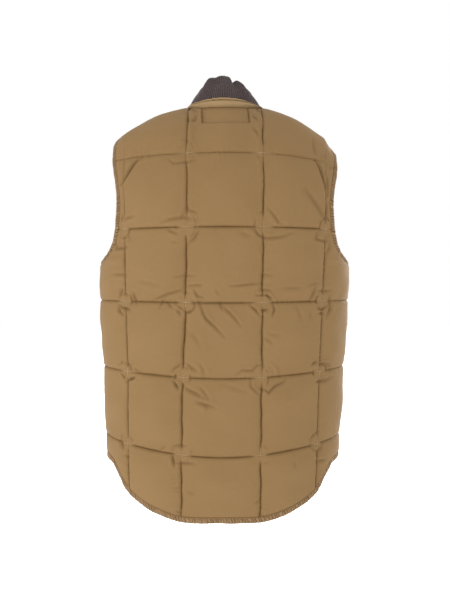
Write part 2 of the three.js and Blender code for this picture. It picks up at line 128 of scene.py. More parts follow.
class Shader:
    def __init__(self, owner):  # a new material's name, or the world
        self.material = bpy.data.materials.new(owner) if isinstance(owner, str) else owner
        self.material.use_nodes = True
        self.tree = self.material.node_tree
        self.tree.nodes.clear()

    def node(self, kind, settings=None, inputs=None, output=0):
        made = self.tree.nodes.new("ShaderNode" + kind)
        for key, value in (settings or {}).items():
            if key == "stops":
                for element, (place, grey) in zip(made.color_ramp.elements, value):
                    element.position = place
                    element.color = (grey, grey, grey, 1)
            else:
                setattr(made, key, value)
        for key, value in (inputs or {}).items():
            if isinstance(value, Value):
                self.tree.links.new(value.socket, made.inputs[key])
            else:
                made.inputs[key].default_value = value
        return Value(self, made.outputs[output]) if len(made.outputs) else None

    def attribute(self, name, output="Fac"):
        return self.node("Attribute", {"attribute_name": name}, output=output)

    def noise(self, place, scale, detail=2.0, roughness=0.5):
        return self.node("TexNoise", None, {"Vector": place, "Scale": scale, "Detail": detail,
                                            "Roughness": roughness})

    def blend(self, amount, first, second):
        return self.node("Mix", {"data_type": "RGBA"}, {0: amount, 6: first, 7: second}, 2)

    def stretched(self, place, factors):
        return self.node("VectorMath", {"operation": "MULTIPLY"}, {0: place, 1: factors})

    def finish(self, sockets):
        surface = self.node("BsdfPrincipled", None, sockets)
        self.node("OutputMaterial", None, {"Surface": surface})
        return self.material


def makeSky():
    scene.world = scene.world or bpy.data.worlds.new("studio")
    sky = Shader(scene.world)
    height = sky.node("SeparateXYZ", None, {0: sky.node("TexCoord", None, None, "Generated")}, "Z")
    glow = sky.node("ValToRGB", {"stops": [studio["horizon"], studio["overhead"]]}, {"Fac": height})
    light = sky.node("Background", None, {"Color": glow, "Strength": studio["surround"]})
    sky.node("OutputWorld", None, {"Surface": light})


shellFinish = {
    "color": (0.169, 0.0997, 0.0382, 1),
    "faded": (0.203, 0.124, 0.053, 1),
    # painted shade: the colour in the seam grooves, creases and ring grooves; the lining borrows it for random
    # darker patches
    "deep": (0.052, 0.019, 0.0, 1),
    "roughness": 0.68,
    "sheen": 0.0,
    "threadsPerMetre": 1500,
}

bindingFinish = {
    "color": (0.208, 0.124, 0.055, 1),
    "faded": (0.27, 0.18, 0.095, 1),
    # painted shade: the colour in the gathers' valleys and seam grooves
    "deep": (0.040, 0.016, 0.005, 1),
    "roughness": 0.7,
    "sheen": 0.05,
    "threadsPerMetre": 1500,
}

neckLitFinish = {              # a paler copy of the shell cloth: painted light from above on the neck band
    **shellFinish,
    "color": (0.215, 0.137, 0.062, 1),
    "faded": (0.29, 0.20, 0.105, 1),
}

liningFinish = {
    "color": (0.13, 0.082, 0.038, 1),
    "roughness": 0.5,
}

threadFinish = {
    # color: the thread in painted shade, in the grooves; bright: the same thread painted lit
    "color": (0.165, 0.088, 0.022, 1),
    "bright": (0.39, 0.29, 0.17, 1),
}

knitFinish = {
    # color: the rib grooves, in painted shade; raised: the ribs' ridges
    "color": (0.020, 0.012, 0.012, 1),
    "raised": (0.061, 0.040, 0.038, 1),
}

metalFinish = {
    "color": (0.34, 0.24, 0.12, 1),
    "worn": (0.52, 0.41, 0.25, 1),
}


def makeCloth(name, finish):
    cloth = Shader(name)
    place = cloth.attribute("clothPlace", "Vector")  # metres along the cloth's two threads
    valleyShade = cloth.attribute("valleyShade")
    crest = cloth.attribute("crest")
    warp, weft = (cloth.node(
        "TexWave", {"wave_type": "BANDS", "bands_direction": direction, "wave_profile": "SIN"},
        {"Vector": place, "Scale": finish["threadsPerMetre"] / 20, "Distortion": 0.6, "Detail": 1.0},
    ) for direction in "XY")
    slub = cloth.noise(cloth.stretched(place, (60, 900, 1)), 1.0, 3.0)
    patchy = cloth.noise(place, 14.0, 4.0, 0.55)
    crushed = cloth.noise(cloth.stretched(place, (1.0, 1.35, 1)), 95.0, 4.0, 0.6)
    tone = patchy * 0.7 + slub * 0.3
    base = cloth.blend(tone ** 1.3, finish["color"], finish["faded"])
    base = cloth.blend(crest * 0.35 * crushed, base, finish["faded"])
    # painted shade in the grooves, blended in by the valleyShade attribute
    base = cloth.blend(valleyShade * 0.8, base, finish["deep"])
    roughness = 0.06 * tone - 0.05 * crest + finish["roughness"]
    weave = (warp * weft) * 0.35 + slub * 0.2
    bump = cloth.node("Bump", None, {"Strength": 0.32, "Distance": 0.0012, "Height": crushed})
    bump = cloth.node("Bump", None, {"Strength": 0.16, "Distance": 0.0003, "Height": weave, "Normal": bump})
    return cloth.finish({"Base Color": base, "Roughness": roughness, "Normal": bump,
                         "Sheen Weight": finish["sheen"], "Sheen Roughness": 0.4,
                         "Specular IOR Level": 0.13})


def makeLining():
    cloth = Shader("liningCloth")
    place = cloth.attribute("clothPlace", "Vector")
    crushed = cloth.noise(place, 60.0, 4.0, 0.6)
    base = cloth.blend(crushed, liningFinish["color"], shellFinish["deep"])
    bump = cloth.node("Bump", None, {"Strength": 0.4, "Distance": 0.001, "Height": crushed})
    return cloth.finish({"Base Color": base, "Roughness": 0.1 * crushed + liningFinish["roughness"],
                         "Normal": bump})


def makeThread():
    thread = Shader("sewingThread")
    place = thread.node("TexCoord", None, None, "Object")
    threadLight = thread.attribute("threadLight")
    twist = thread.noise(place, 2600.0, 1.0)
    # painted light and shade: the same thread paler where threadLight is high, darker in the grooves
    base = thread.blend(threadLight, threadFinish["color"], threadFinish["bright"])
    bump = thread.node("Bump", None, {"Strength": 0.4, "Distance": 0.0002, "Height": twist})
    return thread.finish({"Base Color": thread.blend(twist * 0.3, base, threadFinish["color"]),
                          "Roughness": 0.5 + 0.1 * twist, "Normal": bump, "Specular IOR Level": 0.2})


def makeKnit():
    knit = Shader("ribKnit")
    place = knit.attribute("clothPlace", "Vector")
    rib = knit.attribute("crest")
    loops = knit.node("TexWave", {"wave_type": "BANDS", "bands_direction": "Y", "wave_profile": "SIN"},
                      {"Vector": place, "Scale": 42.0, "Distortion": 1.2, "Detail": 2.0, "Detail Scale": 3.0})
    fuzz = knit.noise(place, 900.0, 3.0, 0.6)
    ribShadeVary = knit.noise(place, 45.0, 3.0)
    # painted shade: the rib grooves darker than the ridges, unevenly
    base = knit.blend(rib * 0.75 * (0.5 + 0.5 * ribShadeVary), knitFinish["color"], knitFinish["raised"])
    base = knit.blend(fuzz * 0.3, base, knitFinish["raised"])
    bump = knit.node("Bump", None, {"Strength": 0.5, "Distance": 0.0005, "Height": loops * 0.6 + fuzz * 0.4})
    return knit.finish({"Base Color": base, "Roughness": 0.9 - 0.1 * fuzz, "Normal": bump,
                        "Sheen Weight": 0.2, "Sheen Roughness": 0.5, "Specular IOR Level": 0.2})


def makeMetal():
    metal = Shader("agedBrass")
    place = metal.node("TexCoord", None, None, "Object")
    patina = metal.noise(place, 420.0, 4.0, 0.6)
    scratches = metal.noise(metal.stretched(place, (4000, 300, 900)), 1.0, 2.0)
    base = metal.blend(patina, metalFinish["color"], metalFinish["worn"])
    bump = metal.node("Bump", None, {"Strength": 0.15, "Distance": 0.0001, "Height": scratches})
    return metal.finish({"Base Color": base, "Roughness": 0.28 + 0.25 * patina, "Normal": bump,
                         "Metallic": 1.0})


def makeFloor():
    floor = Shader("paleFloor")
    place = floor.node("TexCoord", None, None, "Object")
    grain = floor.noise(place, 3.0, 2.0)
    base = floor.blend(grain * 0.2, studio["floorColor"], (0.9, 0.9, 0.9, 1))
    return floor.finish({"Base Color": base, "Roughness": 0.9, "Specular IOR Level": 0.1,
                         "Emission Color": (1, 1, 1, 1), "Emission Strength": studio["floorGlow"]})


body = {  # the vest's form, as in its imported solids
    "wall": 3.0,
    "puffs": (8.0, 8.0, 5.5),   # from the centre column to the side
    "fullCell": 60.0,
    "square": 124.0,
    "firstSeam": 62.0,
    "seamDrift": 4.5,           # how far the back's left one wanders out towards the hem
    "seamLean": (2.5, 7.5),     # how far the back's left and right ones lean in at the neck
    "secondSeam": [(-660, 161), (-560, 164), (-470, 165.5), (-400, 166.5), (-300, 170), (-180, 174.5),
                   (-60, 178)],
    "sectionPower": 2.25,
    # height at the centre, and climb to the side
    "seamRows": [(-556.5, 29), (-428, 15.5), (-304.5, 4.5), (-181, -2), (-58.5, -7)],
    "halfWidth": [(-660, 196), (-560, 199), (-470, 202), (-400, 205.5), (-300, 211.7), (-180, 212),
                  (-60, 208)],
    "sway": [(-660, 4.5), (-560, 4), (-470, 3), (-400, 2), (-300, 1.6), (-180, 0), (-60, 0)],
    "neckHalf": 61.5,
    "neckZ": 31.0,
    "tipX": 177.0,
    "tipZ": -22.0,
    "uneven": 5.0,
    "fall": 1.35,
    "droop": 7.0,               # of the right shoulder's very tip
    "armpitShare": 0.5,
    "armholeCurve": 24.0,
    "bandHalf": 20.0,
    "bandGap": 0.3,             # from the front band to each front
    "seamGap": 0.01,            # from the side and shoulder seams to each panel
}

back = {
    "sign": 1, "rollZ": -180.0, "rollLength": 190.0, "neckY": 62.0, "neckZ": 27.0, "neckPower": 4.0,
    "depth": [(-660, 137), (-560, 140), (-470, 142), (-400, 143), (-300, 146), (-180, 149), (-60, 149)],
    "hem": [(0, -657.5), (66, -656.5), (109, -644.5), (135, -632.5), (159, -618), (172, -605.5), (186, -588.5),
            (202, -573.5), (220, -567), (264, -564)],
    "narrow": 175.5, "cap": 13.0, "tuck": 8.0,
}

front = {
    "sign": -1, "rollZ": -150.0, "rollLength": 150.0, "neckY": 106.0, "neckZ": -48.0, "neckPower": 1.7,
    "depth": [(-660, 142), (-560, 145), (-470, 146), (-400, 146), (-300, 143), (-180, 137), (-60, 134)],
    "hem": [(0, -606), (60, -605), (130, -592), (200, -574), (264, -564)],
    "narrow": 172.0, "cap": 15.0, "tuck": 8.0,
}


def lerp(first, second, share):
    return first + (second - first) * share


def smoothStep(low, high, at):
    t = np.clip((at - low) / (high - low), 0, 1)
    return t * t * (3 - 2 * t)


def tableAt(rows, at):
    places, values = np.array(rows, float).T
    last = len(places) - 1
    index = np.arange(last + 1)
    before, after = np.maximum(0, index - 1), np.minimum(last, index + 1)
    slopes = (values[after] - values[before]) / (places[after] - places[before])
    at = np.asarray(at, float)
    k = np.clip(np.searchsorted(places, at) - 1, 0, last - 1)
    span = places[k + 1] - places[k]
    t = np.clip((at - places[k]) / span, 0, 1)
    keep = (1 + 2 * t) * (1 - t) ** 2
    bend = t * (1 - t) ** 2 * slopes[k] - t * t * (1 - t) * slopes[k + 1]
    return keep * values[k] + (1 - keep) * values[k + 1] + span * bend


sections = {"low": -672.0, "heights": 130, "angles": 400, "reach": 330.0}


def measureSections(side):  # places round a quarter of the section, every millimetre, at many heights
    heights = np.linspace(sections["low"], side["rollZ"], sections["heights"])
    angles = np.linspace(0, np.pi / 2, sections["angles"])
    power = 2 / body["sectionPower"]
    reach = np.arange(0.0, sections["reach"], 1.0)
    side["heights"] = heights
    side["xs"], side["ys"], side["girths"], side["turns"] = [], [], [], []
    for z in heights:
        a, b = tableAt(body["halfWidth"], z), tableAt(side["depth"], z)
        x, y = a * np.sin(angles) ** power, b * np.abs(np.cos(angles)) ** power
        y[-1] = 0
        along = np.concatenate([[0], np.cumsum(np.hypot(np.diff(x), np.diff(y)))])
        past = np.maximum(0, reach - along[-1])
        side["xs"].append(np.interp(reach, along, x))
        side["ys"].append(np.interp(reach, along, y) - past)
        side["girths"].append(along[-1])
        side["turns"].append(along)
    for key in ("xs", "ys", "girths", "turns"):
        side[key] = np.array(side[key])


def lookUp(table, row, column):
    i = np.clip(np.floor(row).astype(int), 0, table.shape[0] - 2)
    j = np.clip(np.floor(column).astype(int), 0, table.shape[1] - 2)
    u, v = np.clip(row - i, 0, 1), np.clip(column - j, 0, 1)
    low = table[i, j] * (1 - v) + table[i, j + 1] * v
    high = table[i + 1, j] * (1 - v) + table[i + 1, j + 1] * v
    return low * (1 - u) + high * u


def heightRow(side, z):
    heights = side["heights"]
    return (np.clip(z, heights[0], heights[-1]) - heights[0]) / (heights[1] - heights[0])


def quarterPoint(side, z, along):
    row = heightRow(side, z)
    return lookUp(side["xs"], row, along), lookUp(side["ys"], row, along)


def girth(side, z):
    return np.interp(z, side["heights"], side["girths"])


def alongAt(side, z, x):
    a = tableAt(body["halfWidth"], z)
    angle = np.arcsin(np.clip(x / a, 0, 1) ** (body["sectionPower"] / 2))
    return lookUp(side["turns"], heightRow(side, z), angle / (np.pi / 2) * (sections["angles"] - 1))


def topEdge(side, x):
    share = np.minimum(1, np.abs(x) / body["neckHalf"])
    inside = share < 1
    out = np.maximum(0, (np.abs(x) - body["neckHalf"]) / (body["tipX"] - body["neckHalf"]))
    y = np.where(inside, side["neckY"] * np.sqrt(1 - share * share), body["seamGap"])
    tip = body["tipZ"] + np.sign(x) * body["uneven"]
    z = np.where(inside, lerp(side["neckZ"], body["neckZ"], share ** side["neckPower"]),
                 lerp(body["neckZ"], tip, out ** body["fall"]))
    z = z - body["droop"] * smoothStep(164, 180, -x)
    return np.maximum(body["seamGap"], y), z


def rollOf(side, x, y):
    topY, topZ = topEdge(side, x)
    deep, high = np.maximum(y - topY, 0.01), topZ - side["rollZ"]
    turn = np.minimum(np.pi / 2, 2 * np.arctan2(deep, high))
    turn = lerp(turn, np.pi / 2, np.minimum(1, np.abs(x) / body["neckHalf"]) ** 4)
    return turn, deep / (1 - np.cos(turn)), high / np.sin(turn)


def clothPoint(side, along, level):
    along, level = np.broadcast_arrays(np.asarray(along, float), np.asarray(level, float))
    x, y = quarterPoint(side, np.minimum(level, side["rollZ"]), np.abs(along))
    x = np.sign(along) * x
    turn, deep, high = rollOf(side, x, y)
    over = level > side["rollZ"]
    angle = np.where(over, (level - side["rollZ"]) / side["rollLength"] * turn, 0)
    y = y - np.where(over, deep * (1 - np.cos(angle)), 0)
    z = np.where(over, side["rollZ"] + high * np.sin(angle), level)
    return np.stack([x + tableAt(body["sway"], level), side["sign"] * y, z], -1)


def unit(vectors):
    return vectors / np.maximum(1e-9, np.linalg.norm(vectors, axis=-1, keepdims=True))


def travelled(points):  # how far along a line each of its points lies
    return np.concatenate([[0], np.cumsum(np.linalg.norm(np.diff(points, axis=0), axis=1))])


def pointsAt(where, along, points):
    return np.stack([np.interp(where, along, points[:, k]) for k in range(3)], -1)


def clothNormal(side, along, level):
    across = clothPoint(side, along + 0.5, level) - clothPoint(side, along - 0.5, level)
    up = clothPoint(side, along, level + 0.5) - clothPoint(side, along, level - 0.5)
    return unit(np.cross(up, across) * side["sign"])


def onCloth(side, along, level, out):
    along, level = np.broadcast_arrays(np.asarray(along, float), np.asarray(level, float))
    return clothPoint(side, along, level) + clothNormal(side, along, level) * np.asarray(out)[..., None]


def levelOfHeight(side, along, z):
    x, y = quarterPoint(side, side["rollZ"] + 0 * along, np.abs(along))
    turn, deep, high = rollOf(side, np.sign(along) * x, y)
    angle = np.arcsin(np.clip((z - side["rollZ"]) / high, 0, 1))
    return np.where(z <= side["rollZ"], z, side["rollZ"] + side["rollLength"] * angle / turn)


def seamHeight(row, share):
    z, climb = body["seamRows"][row]
    return z + climb * smoothStep(0, 1, share)


armpitZ = lerp(seamHeight(2, 1.0), seamHeight(3, 1.0), body["armpitShare"])


def rowLevel(side, row, along):
    along = np.asarray(along, float)
    row = np.broadcast_to(row, along.shape)
    share = np.abs(along) / girth(side, armpitZ)
    level = np.full(along.shape, side["rollZ"] + side["rollLength"])
    level = np.where(row == 0, tableAt(side["hem"], np.abs(along)), level)
    for k in range(5):
        level = np.where(row == k + 1, levelOfHeight(side, along, seamHeight(k, share)), level)
    return level


def edgeAlong(side, level):
    z = np.minimum(level, side["rollZ"])
    top = side["rollZ"] + side["rollLength"]
    start = tableAt(body["halfWidth"], armpitZ)
    narrow, cap, tuck = side["narrow"], side["cap"], side["tuck"]
    low = side["rollZ"]
    pastPit = np.exp(np.minimum(0, armpitZ - level) / body["armholeCurve"])
    x = (narrow + (start - narrow) * pastPit
         + cap * smoothStep(lerp(low, top, 0.15), lerp(low, top, 0.6), level)
         - tuck * smoothStep(lerp(low, top, 0.75), top, level)
         + (body["tipX"] - narrow - cap + tuck) * smoothStep(low, top, level))
    return np.where(level <= armpitZ + 0.01, girth(side, z) - body["seamGap"], alongAt(side, z, x))


def makePiece(name, points, faces, materials, values=None, places=None, slots=None):
    mesh = bpy.data.meshes.new(name)
    faces = faces if isinstance(faces, list) else faces.tolist()
    mesh.from_pydata((np.asarray(points) / 1000).tolist(), [], faces)
    mesh.update()
    mesh.polygons.foreach_set("use_smooth", np.ones(len(mesh.polygons), dtype=bool))
    mesh.set_sharp_from_angle(angle=math.radians(62))
    for key, value in (values or {}).items():
        layer = mesh.attributes.new(key, "FLOAT", "POINT")
        layer.data.foreach_set("value", np.asarray(value, dtype=np.float32).ravel())
    if places is not None:
        layer = mesh.attributes.new("clothPlace", "FLOAT_VECTOR", "POINT")
        layer.data.foreach_set("vector", (np.asarray(places, dtype=np.float32) / 1000).ravel())
    for material in materials:
        mesh.materials.append(material)
    if slots is not None:
        mesh.polygons.foreach_set("material_index", np.asarray(slots, dtype=np.int32))
    piece = bpy.data.objects.new(name, mesh)
    scene.collection.objects.link(piece)
    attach(piece, "root")
    return piece


def gridFaces(rows, columns, start=0, around=False):
    j = np.arange(rows - 1)[:, None]
    i = np.arange(columns if around else columns - 1)[None, :]
    ahead = (i + 1) % columns
    corners = [j * columns + i, j * columns + ahead, (j + 1) * columns + ahead, (j + 1) * columns + i]
    return np.stack([np.broadcast_to(c, (rows - 1, i.size)) for c in corners], -1).reshape(-1, 4) + start


def ringPlaces(rings, along, step):
    around = np.broadcast_to(np.arange(rings.shape[1]) * step, rings.shape[:2])
    return np.stack([np.broadcast_to(along[:, None], around.shape), around, 0 * around], -1)


def ringPiece(name, rings, material, loop, values, places):  # rings: (along, around, 3)
    count, around = rings.shape[:2]
    points, places = rings.reshape(-1, 3), places.reshape(-1, 3)
    faces = gridFaces(count, around, around=True)
    if loop:
        last = np.arange(around) + (count - 1) * around
        ahead = np.roll(np.arange(around), -1)
        faces = np.concatenate([faces, np.stack([last, np.roll(last, -1), ahead, np.arange(around)], -1)])
    # the winding comes from one ring's own direction, so it holds on a bent tube too
    centre = rings.mean(1)
    k = count // 2
    ahead = centre[(k + 1) % count] - centre[k - 1]
    turn = np.cross(rings[k, 0] - centre[k], rings[k, around // 6] - centre[k])
    if np.dot(turn, ahead) > 0:
        faces = faces[:, ::-1]
    faces = faces.tolist()
    if not loop:
        ends = [list(range(around)), [(count - 1) * around + i for i in range(around)][::-1]]
        if np.dot(turn, ahead) > 0:
            ends = [ends[0][::-1], ends[1][::-1]]
        faces += [end[::-1] for end in ends]
    return makePiece(name, points, faces, [material], values, places)


class Waves:  # smooth seeded unevenness over two coordinates
    def __init__(self, seed, count, shortest, longest):
        chance = np.random.default_rng(seed)
        length = shortest * (longest / shortest) ** chance.random(count)
        turn = chance.random(count) * 2 * np.pi
        self.u, self.v = np.cos(turn) * 2 * np.pi / length, np.sin(turn) * 2 * np.pi / length
        self.start = chance.random(count) * 2 * np.pi
        self.share = (length / longest) ** 0.5
        self.total = np.sqrt((self.share ** 2).sum() / 2)

    def __call__(self, u, v):
        height = 0
        for k in range(len(self.u)):
            height = height + self.share[k] * np.sin(self.u[k] * u + self.v[k] * v + self.start[k])
        return height / self.total


quilt = {
    "middleColumns": 120,   # between the two upright seams nearest the middle
    "cellColumns": (26, 80, 62),
    "frontColumns": (24, 60, 46),
    "cellRows": 82,
    "frontRows": 50,
    "liningStep": 4,
    "bunch": 0.35,          # how much closer the mesh is beside the seams
    "shoulder": 5.5,        # how soon the padding rounds over beside a seam
    "steep": 0.34,          # how much of the padding's rise is right beside a seam
    "slackRow": 0.55,       # how firmly the top row of stitches holds
    "seamSink": 0.5,
    "edgeSink": 0.5,        # along the stitches that hold the bindings
    "edgeEase": 5.0,        # how near an edge the relief dies out
    "discRadius": 13.0,     # the flat place where two seams cross
    # how wide the painted shade along a seam is
    "lineWidth": 0.85,
    "lines": (1, 0.6, 0.3, 0.28, 0.45, 0.15, 1),    # how much painted shade each row of seams gets, from the hem up
    "loose": 0.85,          # how slack the back's second upright seam is at the wearer's left shoulder
    "rings": (0, 0.55, 1.0, 1.1, 0.8, 0.35, 0),     # how pushed up the cloth is round a crossing, row by row
    "ringDepth": 1.2,
    "ringShade": 0.3,
    "discKeep": 0.3,
    "discShade": 0.65,      # how much less painted shade the lines get on it
    "creaseShade": 0.2,
    "pucker": 0.30,
    "puckerPitch": 10.0,
    "puckerReach": 8.0,
    "crumple": 0.22,
    "sag": 0.9,
    "eyeDistance": 1950.0,  # creases are placed as they are seen from this far behind or in front
    "creaseDepth": 150.0,
}

# Creases as seen from behind, in mm: depth, half width, points
backCreases = [
    (4.4, 2.1, (133, -71), (142, -79), (164, -114)),
    (1.6, 2.2, (90, -74), (82, -81), (66, -79), (46, -75)),
    (1.0, 2.2, (66, -43), (57, -46)),
    (2.0, 3.0, (101, -175), (90, -170), (66, -166), (52, -169)),
    (1.7, 2.4, (62, -152), (54, -156), (44, -159)),
    (1.2, 2.4, (44, -164), (44, -176)),
    (2.0, 2.4, (41, -187), (48, -199), (58, -208)),
    (1.1, 2.4, (84, -205), (76, -207)),
    (1.8, 2.4, (91, -186), (76, -193)),
    (1.6, 2.6, (151, -185), (154, -194), (149, -203)),
    (1.8, 2.4, (161, -169), (145, -164)),
    (2.4, 2.4, (175, -205), (171, -217), (155, -214)),
    (1.6, 2.6, (-46, -25), (-56, -37)),
    (0.9, 2.4, (-52, -68), (-62, -72)),
    (1.6, 2.4, (-138, -45), (-139, -55), (-144, -68)),
    (4.4, 2.1, (-143, -75), (-149, -85), (-155, -104), (-160, -122), (-163, -132)),
    (2.6, 1.9, (-163, -102), (-165, -128)),
    (2.8, 1.9, (-162, -144), (-160, -176)),
    (2.0, 4.5, (-125, -122), (-137, -138), (-149, -154), (-157, -170)),
    (1.8, 2.4, (-69, -152), (-76, -160), (-86, -175), (-94, -178)),
    (1.1, 2.4, (-54, -158), (-62, -158)),
    (1.9, 2.6, (-44, -185), (-54, -195), (-64, -200), (-82, -199), (-96, -196), (-108, -191)),
    (0.9, 3.5, (-23, -191), (-42, -197)),
    (2.2, 2.4, (-146, -190), (-144, -201), (-157, -205), (-167, -204)),
    (1.8, 2.4, (-167, -207), (-166, -217), (-160, -226)),
    (1.8, 2.4, (176, -258), (157, -259)),
    (2.6, 2.2, (164, -281), (167, -294)),
    (2.4, 3.0, (145, -288), (141, -306)),
    (3.0, 2.2, (169, -308), (168, -318), (163, -323)),
    (1.8, 2.4, (157, -314), (150, -316)),
    (1.4, 2.4, (162, -287), (153, -293)),
    (2.1, 2.4, (115, -300), (92, -290), (74, -285), (64, -281)),
    (1.4, 2.2, (104, -312), (98, -301), (94, -294)),
    (1.8, 2.2, (91, -304), (84, -312)),
    (1.5, 2.2, (80, -262), (64, -260), (47, -260)),
    (1.7, 2.2, (58, -276), (36, -275)),
    (0.8, 3.5, (104, -276), (139, -269)),
    (1.8, 2.2, (50, -281), (44, -293), (34, -296)),
    (1.1, 2.6, (15, -282), (9, -291)),
    (2.0, 2.2, (77, -315), (70, -323)),
    (1.5, 2.2, (62, -321), (54, -317)),
    (2.3, 2.4, (42, -302), (38, -310), (34, -322), (30, -330), (17, -342), (1, -359)),
    (1.8, 2.4, (9, -304), (3, -316)),
    (1.0, 4.0, (61, -351), (48, -359), (40, -373)),
    (2.0, 2.2, (84, -415), (80, -410), (68, -402)),
    (3.0, 2.2, (82, -431), (74, -444)),
    (2.2, 2.0, (78, -420), (80, -427)),
    (1.9, 3.0, (62, -402), (52, -410), (44, -415)),
    (1.3, 3.0, (40, -401), (34, -415), (32, -424)),
    (2.2, 3.0, (66, -440), (56, -446), (44, -452), (34, -459)),
    (1.6, 3.0, (38, -442), (30, -454), (26, -462)),
    (1.8, 2.2, (167, -403), (162, -398)),
    (2.2, 2.2, (158, -401), (151, -405), (148, -415)),
    (2.0, 2.2, (157, -432), (145, -425)),
    (1.7, 2.2, (145, -410), (135, -416)),
    (1.4, 2.2, (-56, -258), (-76, -260)),
    (2.0, 2.2, (-8, -277), (-25, -276), (-42, -274), (-58, -272)),
    (2.0, 2.4, (-56, -282), (-74, -285)),
    (1.2, 3.5, (-92, -281), (-121, -280)),
    (2.0, 2.2, (-64, -288), (-75, -300)),
    (2.4, 2.2, (-77, -306), (-79, -316), (-76, -326)),
    (2.2, 2.2, (-39, -307), (-48, -315), (-56, -324)),
    (1.6, 2.2, (-58, -316), (-70, -316)),
    (1.9, 2.4, (5, -305), (-3, -316), (-13, -326), (-26, -342)),
    (2.2, 2.6, (-135, -302), (-139, -290), (-143, -278)),
    (1.4, 2.4, (-133, -275), (-147, -272)),
    (2.0, 3.2, (-147, -285), (-167, -285)),
    (2.8, 2.2, (-166, -292), (-167, -301), (-167, -314), (-161, -328)),
    (2.0, 2.4, (-148, -321), (-157, -321)),
    (1.0, 3.2, (-113, -308), (-121, -332)),
    (1.0, 3.2, (-134, -316), (-134, -332)),
    (1.0, 3.0, (-68, -354), (-88, -357)),
    (1.4, 2.4, (-64, -361), (-76, -370)),
    (1.8, 2.4, (-17, -422), (-28, -413), (-44, -414), (-52, -405), (-62, -405)),
    (-1.4, 2.6, (-72, -401), (-82, -413), (-82, -427)),
    (1.8, 2.4, (-41, -428), (-42, -440), (-56, -454)),
    (2.4, 2.2, (-52, -443), (-66, -446), (-70, -450), (-80, -439), (-94, -432), (-98, -426)),
    (0.8, 4.0, (5, -436), (-36, -450)),
    (2.2, 2.2, (-137, -405), (-145, -398)),
    (1.8, 2.4, (-149, -401), (-165, -403), (-167, -413)),
    (2.0, 2.2, (-143, -432), (-157, -432), (-167, -424)),
    (2.4, 3.0, (46, -464), (34, -468), (17, -473)),
    (1.0, 3.0, (30, -468), (28, -479)),
    (2.8, 2.2, (166, -527), (162, -539)),
    (1.6, 2.2, (157, -551), (152, -554)),
    (3.0, 2.2, (84, -551), (80, -568)),
    (1.6, 2.4, (84, -545), (82, -537), (76, -534), (60, -536)),
    (1.5, 2.2, (103, -542), (95, -536)),
    (1.8, 2.4, (76, -563), (48, -564)),
    (1.1, 2.2, (80, -603), (72, -604)),
    (1.1, 2.2, (78, -609), (72, -609)),
    (1.0, 3.0, (60, -609), (48, -612)),
    (1.5, 2.4, (78, -641), (72, -643)),
    (2.0, 2.4, (-135, -525), (-141, -517), (-149, -512)),
    (1.8, 2.4, (-146, -547), (-152, -538)),
    (1.6, 2.6, (-143, -562), (-159, -557)),
    (1.5, 2.4, (-49, -628), (-56, -623)),
    (1.4, 2.4, (-53, -646), (-62, -648)),
    (1.0, 3.5, (-109, -561), (-111, -571)),
    (1.8, 2.4, (57, 9), (49, 3), (42, 1)),
    (1.8, 2.4, (60, -12), (50, -12), (42, -5)),
    (1.5, 2.4, (53, -15), (44, -12)),
    (1.6, 2.4, (-43, -6), (-54, -13)),
    (1.4, 2.4, (-46, 6), (-57, -2)),
]

frontCreases = [
    (2.0, 2.8, (60, -182), (78, -196), (96, -200)),
    (2.0, 2.8, (-60, -180), (-82, -168), (-104, -166)),
    (1.8, 3.0, (30, -250), (40, -270), (58, -286)),
    (2.2, 2.8, (-24, -330), (-38, -350), (-58, -362)),
    (2.0, 2.6, (100, -306), (84, -322), (62, -330)),
    (2.0, 2.8, (-66, -306), (-88, -312), (-110, -332)),
    (2.2, 2.6, (66, -428), (92, -432), (112, -446)),
    (2.0, 3.0, (-64, -430), (-74, -448), (-96, -466)),
    (1.6, 3.0, (-140, -424), (-176, -440)),
    (1.8, 3.0, (26, -470), (42, -494), (50, -520)),
    (2.0, 3.0, (-28, -120), (-36, -142), (-56, -160)),
    (1.8, 3.0, (36, -96), (42, -118), (58, -140)),
    (3.0, 2.4, (130, -66), (144, -88), (158, -112)),
    (3.0, 2.4, (-134, -70), (-150, -92), (-160, -118)),
    (1.6, 3.0, (64, -552), (82, -560), (90, -578)),
    (1.6, 3.0, (-70, -550), (-62, -572), (-50, -590)),
    (1.8, 2.4, (76, -290), (70, -284), (56, -285)),
    (1.8, 2.4, (48, -316), (56, -322), (66, -322)),
    (1.8, 2.4, (-76, -414), (-64, -408), (-50, -412)),
    (1.8, 2.4, (150, -290), (148, -302), (152, -316)),
    (1.8, 2.4, (-146, -408), (-152, -400), (-164, -402)),
    (1.8, 2.4, (-150, -166), (-146, -178), (-150, -190)),
]

# The stitched box under the back's neck band, seen from behind: left, lower and right edge
neckBox = {
    "corners": [(36.5, 15), (36.5, -17), (-39.5, -17), (-34, 15)],
    "middle": -1.0,
    "half": 37.0,
    "depth": 0.7,
    "width": 0.9,
    "shade": 0.8,
    "flat": 0.45,
}


def nearLine(x, z, points):  # distance from a stroke, and the share of the way along it
    lengths = [math.hypot(b[0] - a[0], b[1] - a[1]) for a, b in zip(points, points[1:])]
    whole, start = sum(lengths), 0.0
    best, share = np.full(x.shape, 1e6), np.zeros(x.shape)
    for (ax, az), (bx, bz), length in zip(points, points[1:], lengths):
        t = np.clip(((x - ax) * (bx - ax) + (z - az) * (bz - az)) / length ** 2, 0, 1)
        distance = np.hypot(x - ax - t * (bx - ax), z - az - t * (bz - az))
        closer = distance < best
        best = np.where(closer, distance, best)
        share = np.where(closer, (start + t * length) / whole, share)
        start += length
    return best, share


